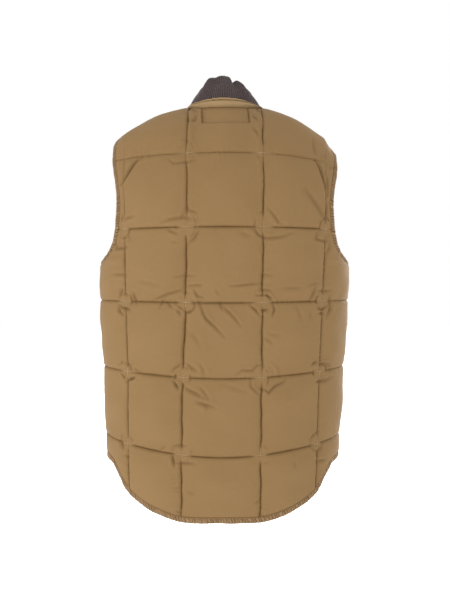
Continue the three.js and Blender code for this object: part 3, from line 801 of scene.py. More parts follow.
def creaseRelief(x, z, creases):
    height, shade = np.zeros(x.shape), np.zeros(x.shape)
    for depth, width, *points in creases:
        lows, highs = np.min(points, axis=0) - 5 * width, np.max(points, axis=0) + 5 * width
        near = (x > lows[0]) & (x < highs[0]) & (z > lows[1]) & (z < highs[1])
        if not near.any():
            continue
        distance, t = nearLine(x[near], z[near], points)
        fade = np.sin(np.pi * np.clip(t, 0.06, 0.94)) ** 0.5
        groove = np.exp(-(distance / width) ** 2)
        height[near] += depth * fade * (0.32 * np.exp(-((distance / width - 2.1) / 1.2) ** 2) - groove)
        # painted shade in the crease's groove
        dark = quilt["creaseShade"] * depth * fade * np.exp(-(distance / (0.6 * width)) ** 2)
        shade[near] = np.maximum(shade[near], dark)
    return height, shade


def asSeen(point):  # where a point shows from straight behind or in front, at the creases' own distance
    eye = quilt["eyeDistance"]
    scale = (eye - quilt["creaseDepth"]) / (eye - np.abs(point[..., 1]))
    return point[..., 0] * scale, camera["height"] * 1000 * (1 - scale) + point[..., 2] * scale


# where cells' and rows' shares fall on the cloth
def panelSpread(side, cell, share, row, rise, inner, mirror=-1):
    along = cell * body["firstSeam"]
    for turn in range(6):
        level = lerp(rowLevel(side, row, along), rowLevel(side, row + 1, along), rise)
        seam = tableAt(body["secondSeam"], level)
        drift = (mirror > 0) * body["seamDrift"] * smoothStep(-300, -450, level)
        drift = drift - np.where(mirror > 0, *body["seamLean"]) * smoothStep(-45, 10, level)
        sewn = 0.5 * np.sin(level / 15 + 2 * mirror) + 0.35 * np.sin(level / 6.1 + mirror)
        first = body["firstSeam"] + (drift + sewn) * (side is back)
        start = np.where(cell == 0, inner, np.where(cell == 1, first, seam))
        edge = np.where(cell == 0, first, np.where(cell == 1, seam, edgeAlong(side, level)))
        along = lerp(start, edge, share)
    height = rowLevel(side, row + 1, along) - rowLevel(side, row, along)
    return along, level, edge - start, height


def shoulderRise(distance):
    return np.sin(np.pi / 2 * np.clip(distance / quilt["shoulder"], 0, 1)) ** 0.85


def crown(across, rise):
    return (np.sin(np.pi * np.clip(across, 0, 1)) * np.sin(np.pi * np.clip(rise, 0, 1))) ** 0.7


def panelRelief(side, waves, cell, share, row, rise, along, level, width, height, inner):
    centred = (cell == 0) & (inner == 0)
    across = np.where(centred, 0.5 + share / 2, share)
    cellWidth = np.where(centred, body["square"], width)
    tall = np.abs(height)
    fill = np.minimum(1, cellWidth / body["fullCell"]) * np.minimum(1, tall / body["fullCell"])
    fromSeam = np.minimum(across, 1 - across) * cellWidth
    fromRow = np.minimum(rise, 1 - rise) * tall
    soft = ((row == 5) & (rise < 0.5)) | ((row == 4) & (rise > 0.5))  # the top row of stitches is slack
    hollow = 1 - np.where(soft, quilt["slackRow"], 1.0) * (1 - shoulderRise(fromRow))
    slowCrown = crown(across, rise)
    steep = quilt["steep"]
    slow, quick, fine = waves
    s, q = along, level

    # flat discs where seams cross, and the sunk threads
    inUse = (cell < 2) | (share < 0.5)
    edgeRow = ((row == 0) & (rise < 0.5)) | ((row == 5) & (rise > 0.5))
    atInner = (cell == 0) & (share < 0.5) & (inner > 0)
    corner = np.hypot(fromSeam, fromRow) + 1.5 * slow(s * 2.3, q * 2.3)
    crossing = np.where(inUse & ~edgeRow & ~atInner, np.exp(-(corner / quilt["discRadius"]) ** 4), 0)
    quickPart = steep * shoulderRise(fromSeam) * hollow
    lift = np.array(body["puffs"])[cell] * fill * (
        quickPart * (1 - crossing) + crossing * quilt["discKeep"] + (1 - steep) * slowCrown)

    # over the shoulder the second upright seam is slack
    whole = np.maximum(1, edgeAlong(side, level) - body["firstSeam"])
    over = (np.abs(along) - body["firstSeam"]) / whole
    loose = quilt["loose"] * (along > 0) * (side is back) * (cell > 0)
    slack = np.where((row == 5) & (cell > 0), lerp(loose, 1, smoothStep(0, 0.35, rise)), 0)
    slack = np.where(row == 4, loose * smoothStep(0.2, 0.65, rise), slack)
    overRise = steep * shoulderRise(np.minimum(over, 1 - over) * whole) * hollow
    overRise = overRise + (1 - steep) * crown(over, rise)
    lift = lerp(lift, body["puffs"][1] * np.minimum(1, tall / body["fullCell"]) * overRise, slack)
    atOuter = ((cell == 1) & (share > 0.5)) | ((cell == 2) & (share < 0.5))
    held = 1 - slack * atOuter
    lineAt = np.where(rise < 0.5, row, row + 1)
    crossing = crossing * held * np.where(atOuter & (lineAt == 5), 0.3, 1)
    # painted shade along the seams' grooves, uneven along its length
    wander = np.clip(0.85 + 0.4 * quick(s * 0.8, q * 0.8) + 0.25 * fine(s, q), 0.45, 1)
    thin, rowLine = quilt["lineWidth"], np.array(quilt["lines"])[lineAt]
    line = wander * np.maximum(held * np.exp(-(fromSeam / thin) ** 2),
                               rowLine * np.exp(-(fromRow / thin) ** 2))
    sink = np.minimum(1, held * np.exp(-fromSeam ** 2) + np.exp(-fromRow ** 2))

    # the cloth is pushed up in a ring round the flat place
    ringed = np.array(quilt["rings"])[lineAt] * np.where(atOuter, 1.25, 0.85) * (crossing > 0)
    ringed = held * ringed * np.clip(0.15 + 1.1 * quick(s * 0.9, q * 0.9), 0, 1.3)
    atRing = corner - quilt["discRadius"] - 1.0
    groove = np.exp(-(atRing / 1.7) ** 2)

    # puckers run square to the seams; the cloth's own crumple is strongest beside them
    pitch, reach = quilt["puckerPitch"], quilt["puckerReach"]
    besideSeam = held * np.sin(2 * np.pi * q / pitch + 2.5 * slow(s, q)) * np.exp(-fromSeam / reach)
    besideRow = np.sin(2 * np.pi * s / pitch + 2.5 * slow(s + 50, q)) * np.exp(-fromRow / reach)
    uneven = np.clip(0.5 + 0.8 * quick(s * 0.35, q * 0.35), 0.1, 2.2)
    near = 0.3 + 0.7 * np.exp(-np.minimum(fromSeam, fromRow) / 14)
    detail = quilt["pucker"] * uneven * (besideSeam + besideRow) * (1 - 0.7 * crossing)
    detail += quilt["crumple"] * near * (0.7 * quick(s, q) + 0.3 * fine(s, q))
    detail += quilt["sag"] * slow(s * 0.8, q) * fill * slowCrown
    detail -= quilt["seamSink"] * sink
    detail += quilt["ringDepth"] * ringed * (0.45 * np.exp(-((atRing - 3.8) / 2.6) ** 2) - groove)
    # painted shade in the ring's groove; less painted shade on the flat disc
    line = np.maximum(line * (1 - quilt["discShade"] * crossing), quilt["ringShade"] * ringed * groove)
    return lift, detail, np.clip(line, 0, 1), fill * slowCrown, crossing


def spacedShares(count):
    s = np.arange(count) / count
    return s - quilt["bunch"] * np.sin(2 * np.pi * s) / (2 * np.pi)


class Panel:
    def __init__(self, side, inner, seed, creases):
        self.side, self.inner, self.creases = side, inner, creases
        self.waves = Waves(seed, 14, 45, 150), Waves(seed + 1, 26, 12, 45), Waves(seed + 2, 26, 7.5, 16)

    def at(self, cell, share, row, rise, mirror):
        side = self.side
        along, level, width, height = panelSpread(side, cell, share, row, rise, self.inner, mirror)
        signed = along * mirror
        lift, detail, line, high, crossing = panelRelief(
            side, self.waves, cell, share, row, rise, signed, level, width, height, self.inner)
        point = clothPoint(side, signed, level)
        x, z = asSeen(point)
        creased, shade = creaseRelief(x, z, self.creases)
        detail, line = detail + creased, np.maximum(line, shade)
        wide, tall = np.abs(width), np.abs(height)
        fromTop, fromSide, fromHem = (1 - rise) * tall, (1 - share) * wide, rise * tall
        if side is back:
            inBox = (np.abs(x - neckBox["middle"]) < neckBox["half"]) & (z > neckBox["corners"][1][1])
            lift = np.where(inBox & (row == 5), lift * neckBox["flat"], lift)
            # painted shade along the stitched box's grooves, and under the neck band at the top of the middle
            # column
            distance = nearLine(x, z, neckBox["corners"])[0]
            detail = detail - neckBox["depth"] * np.exp(-(distance / neckBox["width"]) ** 2) * (row == 5)
            line = np.maximum(line, neckBox["shade"] * np.exp(-(distance / 0.8) ** 2) * (row == 5))
            line = np.maximum(line, np.exp(-(fromTop / 2.4) ** 2) * ((row == 5) & (cell == 0)))
        free = 1.0
        edges = [(cell == 2, fromSide), (row == 0, fromHem), (row == 5, fromTop)]
        if self.inner:
            edges.append((cell == 0, share * wide))
        for beside, distance in edges:
            free = free * np.where(beside, np.minimum(1, distance / quilt["edgeEase"]), 1)
        topFlat = np.where((row == 5) & (cell == 0), smoothStep(0, 12, fromTop), 1)
        fromEdge = np.minimum(np.where(cell == 2, fromSide, 99), np.where(row == 0, fromHem, 99))
        sewn = np.exp(-((fromEdge - binding["lap"] - 1.0) / 1.1) ** 2)
        detail = detail - quilt["edgeSink"] * sewn
        out = body["wall"] / 2 + np.maximum(-0.9, lift * topFlat + detail * (0.2 + 0.8 * free))
        # painted shade along the sunk seam that holds the bindings
        line = np.maximum(line * np.clip(free + 0.4, 0, 1), 0.85 * sewn)
        return point, clothNormal(side, signed, level), out, line, high, crossing, signed, level


def zipRims(fine, coarse, turned):  # faces between a fine and a coarse edge
    rims, k = [], 0
    for i in range(len(fine) - 1):
        if k + 1 < len(coarse) and i >= (coarse[k][1] + coarse[k + 1][1]) / 2:
            rims.append([coarse[k][0], coarse[k + 1][0], fine[i]][:: -1 if turned else 1])
            k += 1
        rims.append([fine[i], coarse[k][0], fine[i + 1]][:: 1 if turned else -1])
    while k + 1 < len(coarse):
        rims.append([coarse[k][0], coarse[k + 1][0], fine[-1]][:: -1 if turned else 1])
        k += 1
    return rims


def makePanel(name, panel, columns, rowCount, cloth, lining, node):  # columns: (cell, share, mirror)
    cell, share, mirror = (np.array([c[k] for c in columns]) for k in range(3))
    rows = [(row, s) for row in range(6) for s in spacedShares(rowCount)] + [(5, 1.0)]
    row, rise = np.array([r for r, s in rows]), np.array([s for r, s in rows])
    shape = (len(rows), len(columns))
    grid = [np.broadcast_to(a, shape)
            for a in (cell[None], share[None], row[:, None], rise[:, None], mirror[None])]
    point, normal, out, line, high, crossing, along, level = panel.at(*grid)
    pickRows, pickColumns = (np.unique(np.append(np.arange(0, n, quilt["liningStep"]), n - 1)) for n in shape)
    pick = np.ix_(pickRows, pickColumns)
    half = body["wall"] / 2
    behindOut = -half - 2.2 * high + 0.7 * np.exp(-(out - half) / 1.2)
    outer, inner = point + normal * out[..., None], (point + normal * behindOut[..., None])[pick]
    points = np.concatenate([outer.reshape(-1, 3), inner.reshape(-1, 3)])
    start = shape[0] * shape[1]
    faces = gridFaces(*shape)
    behind = gridFaces(len(pickRows), len(pickColumns), start)
    a, b, c = points[faces[:, 0]], points[faces[:, 1]], points[faces[:, 2]]
    flip = np.einsum("ij,ij->i", np.cross(b - a, c - a), normal.reshape(-1, 3)[faces[:, 0]]).sum() < 0
    faces, behind = (faces[:, ::-1], behind) if flip else (faces, behind[:, ::-1])
    wide, narrow = shape[1], len(pickColumns)
    rims = []
    for j, k in ((0, 0), (shape[0] - 1, len(pickRows) - 1)):
        coarse = [(start + k * narrow + m, i) for m, i in enumerate(pickColumns)]
        rims += zipRims([j * wide + i for i in range(wide)], coarse, (j > 0) != flip)
    for i, m in ((0, 0), (wide - 1, narrow - 1)):
        coarse = [(start + k * narrow + m, j) for k, j in enumerate(pickRows)]
        rims += zipRims([j * wide + i for j in range(shape[0])], coarse, (i == 0) != flip)

    def both(values):
        return np.concatenate([values.ravel(), values[pick].ravel()])

    places = np.stack([both(along), both(level), np.zeros(len(points))], -1)
    slots = [0] * len(faces) + [1] * len(behind) + [0] * len(rims)
    piece = makePiece(name, points, faces.tolist() + behind.tolist() + rims, [cloth, lining],
                      {"valleyShade": both(line), "crest": both(high)}, places, slots)
    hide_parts(node)
    print(name, len(piece.data.polygons), "faces")


def cellColumns(cells, counts, mirror):
    columns = [(c, s, mirror) for c in cells for s in spacedShares(counts[c])]
    return columns + [(cells[-1], 1.0, mirror)]


def middleColumns():  # over both halves of the middle column of squares
    across = np.append(spacedShares(quilt["middleColumns"]), 1.0) * 2 - 1
    return [(0, abs(s), 1.0 if s >= 0 else -1.0) for s in across]


sewing = {"pitch": 3.3, "length": 2.5, "radius": 0.34, "sides": 5, "proud": 0.35}


def makeStitches(name, runs, thread):  # runs: (points, normals, how much painted light the thread gets)
    points, faces, threadLight = [], [], []
    turns = np.arange(sewing["sides"]) / sewing["sides"] * 2 * np.pi
    radius, n = sewing["radius"], sewing["sides"]
    for path, normals, lightShare in runs:
        along = travelled(path)
        count = int(along[-1] / sewing["pitch"])
        middles = (np.arange(count) + 0.5) * along[-1] / count
        first, last = (pointsAt(middles + end * sewing["length"] / 2, along, path) for end in (-1, 1))
        ahead = unit(last - first)
        across = unit(np.cross(ahead, unit(pointsAt(middles, along, normals))))
        up = np.cross(across, ahead)
        amount = np.interp(middles, along, lightShare)
        for k in range(count):
            start = len(points)
            points.append(first[k] - up[k] * radius)
            for end, inset in ((first[k], 0.28), (last[k], -0.28)):
                ring = end + ahead[k] * inset + radius * (
                    np.cos(turns)[:, None] * across[k] * 1.15 + np.sin(turns)[:, None] * up[k])
                points.extend(ring)
            points.append(last[k] - up[k] * radius)
            for i in range(n):
                j = (i + 1) % n
                faces.append([start, start + 1 + i, start + 1 + j])
                faces.append([start + 1 + i, start + 1 + n + i, start + 1 + n + j, start + 1 + j])
                faces.append([start + 1 + n + i, start + 1 + 2 * n, start + 1 + n + j])
            threadLight += [amount[k]] * (2 * n + 2)
    makePiece(name, np.array(points), faces, [thread], {"threadLight": threadLight})


def threadOn(panel, cell, share, row, rise, mirror):
    point, normal, out, line, high, crossing, along, level = panel.at(
        cell, share, np.full(share.shape, row), rise, np.full(share.shape, mirror))
    # the crossing share sets how much painted light the thread gets
    return point + normal * (out + sewing["proud"])[:, None], normal, crossing


def panelRuns(panel, mirrors):  # the quilting lines of a panel
    runs = []
    rise = np.linspace(0.02, 0.98, 60)
    for mirror in mirrors:
        for cell in (0, 1):
            rows = []
            # loose padding hides the thread over the shoulders
            for row in range(6 - cell * (panel.side is back)):
                cells, shares = np.full(rise.shape, cell), np.ones(rise.shape)
                rows.append(threadOn(panel, cells, shares, row, rise, mirror))
            runs.append([np.concatenate(parts) for parts in zip(*rows)])
    for row in range(1, 6):
        for mirror in mirrors:
            cell = np.repeat((0, 1, 2), (40, 60, 50))
            share = np.concatenate([np.linspace(0.02, 1, 40), np.linspace(0, 1, 60),
                                    np.linspace(0, 0.985, 50)])
            runs.append(threadOn(panel, cell, share, row, np.zeros(share.shape), mirror))
    return runs


neckRoll = {
    "lean": 18.0,
    "height": 18.5,
    "end": 1.5,             # short of the centre front
    "rings": 420,
    # up from the neck seam, and out from it
    "section": [(0.4, -2), (0.2, -0.4), (0.6, 1.2), (2.2, 3.3), (4.4, 5.0), (6.8, 5.8), (9.2, 5.7),
                (11.2, 4.7), (12.6, 3.2), (13.3, 2.2), (14.0, 3.0), (15.3, 3.9), (16.8, 3.8), (18.0, 2.8),
                (18.5, 1.4), (18.5, -0.4), (18.3, -2), (13, -2.4), (7, -2.4)],
    "seamAt": 13.3,         # how far up the piping's seam lies
    "pucker": 0.45,
    "cornerAt": 0.33,       # the band stands lower beside the shoulders
    "cornerSpread": 0.17,
    "cornerDrops": (14.0, 9.0),     # on the wearer's right and left
    "foot": 2.8,
}

collar = {
    "height": 42.0,
    "thick": 2.4,
    "ribs": 120,
    "ribColumns": 8,
    "rib": 1.5,
    "leanFoot": 18.0,
    "leanTop": 38.0,
    "leanSide": 30.0,       # the foot leans in further beside the shoulders
    "gap": 0.9,
    # place from centre back (0) to centre front (1, -1), rise of the edge, push inwards, spread
    "folds": [(0.01, 3, -2, 0.1), (0.2, 4, -2, 0.06), (0.31, -4, 1, 0.04), (0.33, 0, -1, 0.08),
              (-0.095, -7, 6, 0.032), (-0.21, -1, -3, 0.06), (-0.34, -5, -1, 0.09), (-0.5, -8, 0, 0.12),
              (0.5, -5, 0, 0.12), (0.62, -3, 4, 0.06), (-0.68, -2, 4, 0.06)],
}


def traceNeck():  # the neck seam from centre back round to centre front
    behind, ahead = np.linspace(0, body["firstSeam"], 80), np.linspace(body["firstSeam"], 0, 90)
    points = np.concatenate([clothPoint(back, behind, back["rollZ"] + back["rollLength"]),
                             clothPoint(front, ahead, front["rollZ"] + front["rollLength"])])
    return points, travelled(points)


def neckPoint(t):
    points, along = neckTrace
    point = pointsAt(np.abs(t) * along[-1], along, points)
    point[..., 0] *= np.where(t < 0, -1, 1)
    return point


def neckFrame(t, degrees):  # the way in, up along a lean, and out from it
    point = neckPoint(t)
    x, y = point[..., 0], point[..., 1]
    behind = y > 0
    deep, low, power = (np.where(behind, back[key], front[key]) for key in ("neckY", "neckZ", "neckPower"))
    half = body["neckHalf"]
    inward = unit(np.stack([-x / half ** 2, -y / deep ** 2, 0 * x], -1))
    share = np.clip(np.abs(x) / half, 0, 1)
    steep = (body["neckZ"] - low) / half * power * share ** (power - 1) * smoothStep(0, 0.4, share)
    across = np.sqrt(1 - share ** 2)
    ahead = unit(np.stack([across * np.where(x < 0, -1, 1), np.where(behind, -1, 1) * share * deep / half,
                           steep * across], -1))
    lean = np.radians(np.broadcast_to(degrees, x.shape))[..., None]
    up = np.zeros_like(inward) + (0, 0, 1)

    def square(vector, *others):
        for other in others:
            vector = vector - other * (vector * other).sum(-1, keepdims=True)
        return unit(vector)

    rise = square(up * np.cos(lean) + inward * np.sin(lean), ahead)
    away = square(up * np.sin(lean) - inward * np.cos(lean), ahead, rise)
    return inward, rise, away


def neckSpan(count):
    end = 1 - neckRoll["end"] / neckTrace[1][-1]
    return np.linspace(-end, end, count)


def bandPoint(t, up, out):
    inward, rise, away = neckFrame(t, neckRoll["lean"])
    near = np.exp(-((np.abs(t) - neckRoll["cornerAt"]) / neckRoll["cornerSpread"]) ** 2)
    right, left = neckRoll["cornerDrops"]
    foot = neckRoll["foot"]
    lower = lerp(right, left, smoothStep(-0.1, 0.1, t)) * near
    lower = lower * np.maximum(0, up - foot) / (neckRoll["height"] - foot)
    return neckPoint(t) + rise * (up - lower)[..., None] + away * np.asarray(out)[..., None]


def makeNeckBand(cloth, thread):
    t = neckSpan(neckRoll["rings"])
    length = t * neckTrace[1][-1]
    waves, quick = Waves(41, 12, 12, 60), Waves(42, 12, 7, 18)
    rings, valleyShades = [], []
    seamAt = neckRoll["seamAt"]
    for up, out in neckRoll["section"]:
        loose = math.sin(math.pi * min(1, up / seamAt)) if 0 < up < seamAt and out > 0 else 0
        pucker = 0.55 * waves(length, up * 2 + 0 * length) + 0.45 * quick(length, up + 0 * length)
        pucker = neckRoll["pucker"] * pucker * (0.4 + loose) * (out > 0)
        piping = 0.3 * quick(length * 1.7, 40 + 0 * length) if up > seamAt and out > 0 else 0
        rings.append(bandPoint(t, up + 0 * t, out + pucker + piping))
        # painted shade in the piping seam's groove; elsewhere the band is kept paler
        valleyShades.append(np.full(len(t), math.exp(-((up - seamAt) / 0.9) ** 2) * (out > 0)))
    rings, valleyShades = np.stack(rings, 1), np.stack(valleyShades, 1)
    piece = ringPiece("neckBand", rings, cloth, False, {"valleyShade": valleyShades, "crest": 0.6 * (1 - valleyShades)},
                      ringPlaces(rings, length, 2.6))
    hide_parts("neck_band")
    seam = neckSpan(900)
    path = bandPoint(seam, seamAt + 0 * seam, 2.2 + 0 * seam)
    makeStitches("neckBandStitches", [(path, neckFrame(seam, neckRoll["lean"])[2], 0 * seam + 0.7)], thread)


def collarPoint(t, share, out):
    point = bandPoint(t, neckRoll["height"] + 0 * t, 0 * t)
    point = point + neckFrame(t, neckRoll["lean"])[1] * collar["gap"]
    steps = 6
    beside = smoothStep(0.12, 0.34, np.abs(t)) * smoothStep(0.85, 0.6, np.abs(t))
    foot = lerp(collar["leanFoot"], collar["leanSide"], beside)
    for k in range(steps):
        lean = lerp(foot, collar["leanTop"], share * (k + 0.5) / steps)
        point = point + neckFrame(t, lean)[1] * (collar["height"] * share / steps)[..., None]
    inward, rise, away = neckFrame(t, lerp(foot, collar["leanTop"], share))
    for at, lift, push, spread in collar["folds"]:
        near = np.exp(-((t - at) / spread) ** 2)
        point[..., 2] += lift * near * share ** 2
        point = point + inward * (push * near * share ** 1.5)[..., None]
    return point + away * np.asarray(out)[..., None]


def makeCollar(knit):
    count = collar["ribs"] * collar["ribColumns"] + 1
    t = neckSpan(count)
    phase = np.arange(count) / collar["ribColumns"] % 1
    ridge = 1 - np.abs(2 * phase - 1) ** 2.4
    soft = Waves(51, 10, 14, 60)
    half = collar["thick"] / 2
    outline = [(s, 1) for s in np.linspace(0, 0.97, 19)]
    outline += [(0.985, 0.86), (0.997, 0.55), (1.0, 0.1), (0.998, -0.4), (0.988, -0.8)]
    outline += [(s, -1) for s in np.linspace(0.97, 0, 12)]
    rings, crests, places = [], [], []
    length = t * neckTrace[1][-1]
    for share, face in outline:
        rib = collar["rib"] * ridge * min(1, abs(face) * 1.3 + 0.25) * (1 if face > 0 else -0.8)
        loose = 0.5 * soft(length, share * 42 + 0 * length) * share
        rings.append(collarPoint(t, share + 0 * t, half * face + rib + loose))
        crests.append(ridge)
        upTo = share * collar["height"] * (1 if face > 0 else -1)
        places.append(np.stack([length, 0 * t + upTo, 0 * t], -1))
    rings = np.stack(rings, 1)
    piece = ringPiece("ribCollar", rings, knit, False, {"crest": np.stack(crests, 1)}, np.stack(places, 1))
    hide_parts("collar_knit")


binding = {
    "thick": 2.9,
    "width": 7.2,
    "lap": 2.2,             # how far it reaches onto the panel
    "step": 0.62,
    "gatherPitch": 4.4,
    "gather": 1.4,
    "slant": 0.35,
    "around": 18,
    "armholeShade": 1.55,   # how strong the painted shade in the gathers' valleys is
    "hemShade": 1.05,
}


def spreadEdge(point, normal, out, loop):  # the edge's points at even small steps
    if loop:
        point, normal, out = (np.concatenate([a, a[:1]]) for a in (point, normal, out))
    along = travelled(point)
    count = int(along[-1] / binding["step"])
    where = np.linspace(0, along[-1], count + 1)[: count if loop else count + 1]
    point, normal, out = (pointsAt(where, along, a) for a in (point, normal, out))
    out = out / np.linalg.norm(out, axis=1, keepdims=True) if loop else out
    return point, unit(normal), out, where, along[-1]


def makeBinding(name, node, edge, seed, cloth, thread, loop, shade):
    point, normal, out, where, whole = spreadEdge(*edge, loop)
    if loop:
        pitch = whole / round(whole / binding["gatherPitch"])
        lap = 2 * np.pi * where / whole
        swell = np.sin(lap * 7) * 0.15 + np.sin(lap * 23 + 1) * 0.12
    else:
        pitch = binding["gatherPitch"]
        swell = 0.2 * Waves(seed, 8, 20, 90)(where, 0 * where)
    chance = np.random.default_rng(seed)
    ridges = int(whole / pitch) + 2
    drift = np.interp(where / pitch, np.arange(ridges), chance.normal(0, 0.3, ridges))
    size = np.interp(where / pitch, np.arange(ridges), 0.35 + 1.1 * chance.random(ridges))
    if loop:
        fade = np.clip(np.minimum(where, whole - where) / 12, 0, 1)
        drift, size = drift * fade, size * fade + 0.9 * (1 - fade)
    thick, low, high = binding["thick"], -binding["lap"], binding["width"]
    middle, reach = (low + high) / 2, (high - low) / 2
    rings, valleyShades = [], []
    for k in range(binding["around"]):
        angle = 2 * np.pi * (k + 0.5) / binding["around"]
        u, v = math.cos(angle), math.sin(angle)
        away, up = middle + reach * np.sign(u) * abs(u) ** 0.75, thick * np.sign(v) * abs(v) ** 0.75
        turn = where / pitch + drift + binding["slant"] * away * np.sign(v) / pitch
        wave = np.abs(np.sin(np.pi * turn)) ** 0.7
        bulge = binding["gather"] * size * (wave - 0.55) + swell
        rings.append(point + out * (away + bulge * u * 1.1)[:, None] + normal * (up + bulge * v)[:, None])
        # painted shade in the gathers' valleys; the ridges are kept paler
        valleyShades.append(np.clip((1 - wave) * (0.5 + size) * shade, 0, 1))
    rings, valleyShades = np.stack(rings, 1), np.stack(valleyShades, 1)
    piece = ringPiece(name, rings, cloth, loop, {"valleyShade": valleyShades, "crest": 0.5 - 0.5 * valleyShades},
                      ringPlaces(rings, where, 1.6))
    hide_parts(node)
    round(whole / 1000 * 1.15, 3)
    seamRuns = []
    for face in (1, -1):
        run = point - out * (binding["lap"] + 0.2) + normal * (face * (body["wall"] / 2 + 0.5))
        seamRuns.append((run[::3], normal[::3] * face, 0 * where[::3] + 0.2))
    makeStitches(name + "Stitches", seamRuns, thread)


def armholeEdge(side, mirror):  # from the side seam to the shoulder's tip
    row = np.concatenate([np.full(40, 3), np.full(60, 4), np.full(60, 5)])
    rise = np.concatenate([np.linspace(body["armpitShare"], 0.995, 40), np.linspace(0, 0.99, 60),
                           np.linspace(0, 1, 60)])
    along, level = panelSpread(side, np.full(row.shape, 2), np.ones(row.shape), row, rise, 0)[:2]
    along = along * mirror
    point = clothPoint(side, along, level)
    normal = clothNormal(side, along, level)
    ahead = np.gradient(point, axis=0)
    out = np.cross(ahead, normal)
    out[[0, -1], 1] = 0
    out = unit(out)
    inside = clothPoint(side, along - 2 * mirror, level - 2)
    turned = ((inside - point) * out).sum(-1) > 0
    out[turned] *= -1
    return point, normal, out


def hemEdge(side, inner, mirror):
    cell = np.repeat((0, 1, 2), (40, 50, 60))
    share = np.concatenate([np.linspace(0, 0.98, 40), np.linspace(0, 0.98, 50), np.linspace(0, 1, 60)])
    along, level = panelSpread(side, cell, share, np.zeros(cell.shape, int), np.zeros(cell.shape), inner)[:2]
    along[-1] -= 0.1  # just short of the side seam
    along = along * mirror
    point = clothPoint(side, along, level)
    climb = (rowLevel(side, 0, along + 2) - rowLevel(side, 0, along - 2)) / 4
    out = unit(clothPoint(side, along, level - 1) - point) * np.hypot(1, climb)[:, None]
    return point, clothNormal(side, along, level), out


frontStrip = {"half": 20.0, "thick": 2.6, "gap": 0.3, "rows": 260, "foot": 7.5, "seamIn": 4.5}


def makeFrontBand(name, node, outward, seed, cloth, thread):
    low = frontStrip["gap"] / 2 if outward > 0 else -frontStrip["gap"] / 2 - frontStrip["thick"]
    high = low + frontStrip["thick"]
    half = frontStrip["half"]
    profile = [(-half + 0.5, low), (-half, low + 0.8), (-half + 0.1, high - 0.9), (-half + 0.9, high - 0.2)]
    profile += [(x, high) for x in np.linspace(-half + 2, half - 2, 25)]
    profile += [(half - 0.9, high - 0.2), (half - 0.1, high - 0.9), (half, low + 0.8), (half - 0.5, low)]
    profile += [(x, low) for x in np.linspace(half - 5, -half + 5, 7)]
    share = np.linspace(0, 1, frontStrip["rows"])
    waves = Waves(seed, 14, 14, 70)
    rings, valleyShades, places = [], [], []
    for x, height in profile:
        along = x + 0 * share
        foot = rowLevel(front, 0, along) - frontStrip["foot"]
        top = rowLevel(front, 6, along)
        level = lerp(foot, top, share)
        fromSeam = half - abs(x) - frontStrip["seamIn"]
        seam = math.exp(-(fromSeam / 0.9) ** 2)
        ends = np.minimum(1, np.minimum(share, 1 - share) * 60)
        outer = height >= high - 0.1 if outward > 0 else height <= low + 0.1
        soft = 0.28 * waves(level, along) * (0.4 + math.exp(-abs(fromSeam) / 5)) - 0.45 * seam
        rings.append(onCloth(front, along, level, height + soft * outer * ends * outward))
        # painted shade in the groove of the band's stitching
        valleyShades.append(seam * outer + 0 * share)
        places.append(np.stack([along, level, 0 * share], -1))
    rings, valleyShades = np.stack(rings, 1), np.stack(valleyShades, 1)
    piece = ringPiece(name, rings, cloth, False, {"valleyShade": valleyShades, "crest": 0.5 - 0.5 * valleyShades},
                      np.stack(places, 1))
    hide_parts(node)
    runs = []
    for x in (-half + frontStrip["seamIn"], half - frontStrip["seamIn"]):
        along = np.full(300, x)
        level = lerp(rowLevel(front, 0, along) - 3, rowLevel(front, 6, along) - 3, np.linspace(0, 1, 300))
        path = onCloth(front, along, level, high - 0.35 if outward > 0 else low + 0.35)
        runs.append((path, clothNormal(front, along, level) * outward, 0 * level + 0.3))
    makeStitches(name + "Stitches", runs, thread)


snap = {
    "count": 5, "top": -84.0, "pitch": 112.0, "turns": 48,
    # radius and height of the cap: rolled rim, a groove, a low dome
    "profile": [(0, 0), (6.6, 0), (7.2, 0.35), (7.5, 0.9), (7.35, 1.5), (6.9, 1.85), (6.4, 1.8), (6.0, 1.55),
                (5.6, 1.6), (5.2, 1.95), (4.4, 2.4), (3.3, 2.8), (2.0, 3.05), (0.9, 3.17), (0, 3.2)],
}


def makeSnaps(metal):
    for i in range(snap["count"]):
        level = snap["top"] - i * snap["pitch"]
        base = onCloth(front, 0.0, level, 1.5 * frontStrip["gap"] + frontStrip["thick"])
        axis = clothNormal(front, 0.0, level)
        across = unit(np.cross(axis, (0, 0, 1.0)))
        up = np.cross(axis, across)
        angle = np.arange(snap["turns"]) / snap["turns"] * 2 * np.pi
        circle = np.cos(angle)[:, None] * across + np.sin(angle)[:, None] * up
        inner = snap["profile"][1:-1]
        rings = np.stack([base + r * circle + h * axis for r, h in inner])
        points = np.concatenate([rings.reshape(-1, 3), [base, base + snap["profile"][-1][1] * axis]])
        faces = gridFaces(len(inner), snap["turns"], around=True)
        a, b, c = points[faces[-1, 0]], points[faces[-1, 1]], points[faces[-1, 2]]
        turned = np.dot(np.cross(b - a, c - a), axis) < 0
        faces = (faces[:, ::-1] if turned else faces).tolist()
        n, last = snap["turns"], (len(inner) - 1) * snap["turns"]
        foot, top = len(points) - 2, len(points) - 1
        for k in range(n):
            m = (k + 1) % n
            caps = [[foot, m, k], [top, last + k, last + m]]
            faces += [cap[::-1] for cap in caps] if turned else caps
        piece = makePiece(f"snapCap{i + 1}", points, faces, [metal])
        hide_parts(f"snap_{i + 1}")


def makeStage():
    size = studio["floorSize"]
    bpy.ops.mesh.primitive_plane_add(size=size, location=(0, 0, studio["floorDrop"]))
    floor = bpy.context.object
    floor.name = "paleFloor"
    floor.data.materials.append(makeFloor())


makeCamera()
makeLamps()
makeSky()
makeStage()
measureSections(back)
measureSections(front)
neckTrace = traceNeck()
print("form measured")

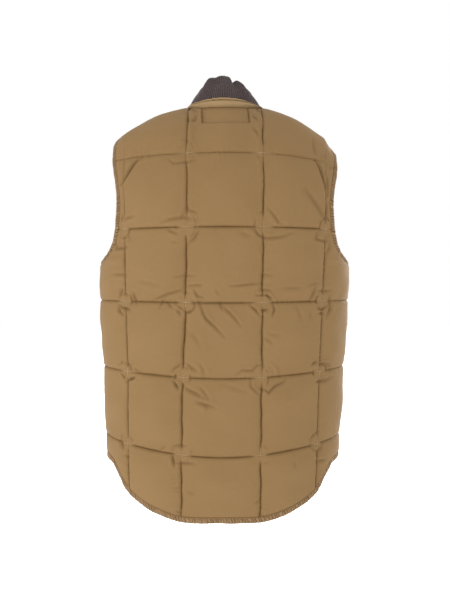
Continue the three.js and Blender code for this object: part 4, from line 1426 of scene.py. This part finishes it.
shellCloth, neckLitCloth = makeCloth("shellCloth", shellFinish), makeCloth("neckLitCloth", neckLitFinish)
bindingCloth = makeCloth("bindingCloth", bindingFinish)
liningCloth, sewingThread, ribKnit, agedBrass = makeLining(), makeThread(), makeKnit(), makeMetal()
print("materials made")

backCloth = Panel(back, 0.0, 11, backCreases)
for name, columns in (("backMiddle", middleColumns()),
                      ("backLeft", cellColumns((1, 2), quilt["cellColumns"], 1.0)),
                      ("backRight", cellColumns((1, 2), quilt["cellColumns"], -1.0))):
    makePanel(name, backCloth, columns, quilt["cellRows"], shellCloth, liningCloth, "back_panel")
makeStitches("backStitches", panelRuns(backCloth, (1.0, -1.0)), sewingThread)
frontInner = body["bandHalf"] + body["bandGap"]
for name, node, mirror, seed in (("frontLeft", "front_left", 1.0, 21),
                                 ("frontRight", "front_right", -1.0, 31)):
    frontCloth = Panel(front, frontInner, seed, frontCreases)
    makePanel(name, frontCloth, cellColumns((0, 1, 2), quilt["frontColumns"], mirror), quilt["frontRows"],
              shellCloth, liningCloth, node)
    makeStitches(name + "Stitches", panelRuns(frontCloth, (mirror,)), sewingThread)
print("quilted panels made")

makeNeckBand(neckLitCloth, sewingThread)
makeCollar(ribKnit)
print("neck band and collar made")

for name, node, mirror in (("armholeBindingLeft", "armhole_binding_left", 1),
                           ("armholeBindingRight", "armhole_binding_right", -1)):
    behind, ahead = armholeEdge(back, mirror), armholeEdge(front, mirror)
    edge = [np.concatenate([b, f[::-1][1:-1]]) for b, f in zip(behind, ahead)]
    makeBinding(name, node, edge, 61 + mirror, bindingCloth, sewingThread, True, binding["armholeShade"])
right, left = hemEdge(back, 0.0, -1), hemEdge(back, 0.0, 1)
edge = [np.concatenate([r[:0:-1], l]) for r, l in zip(right, left)]
makeBinding("hemBindingBack", "hem_binding_back", edge, 71, bindingCloth, sewingThread, False,
            binding["hemShade"])
for name, node, mirror in (("hemBindingLeft", "hem_binding_left", 1),
                           ("hemBindingRight", "hem_binding_right", -1)):
    edge = hemEdge(front, frontInner, mirror)
    makeBinding(name, node, edge, 81 + mirror, bindingCloth, sewingThread, False, binding["hemShade"])
print("bindings made")

makeFrontBand("frontBand", "front_band", 1, 91, shellCloth, sewingThread)
makeFrontBand("underBand", "under_band", -1, 92, shellCloth, sewingThread)
makeSnaps(agedBrass)
print("front bands and snaps made")
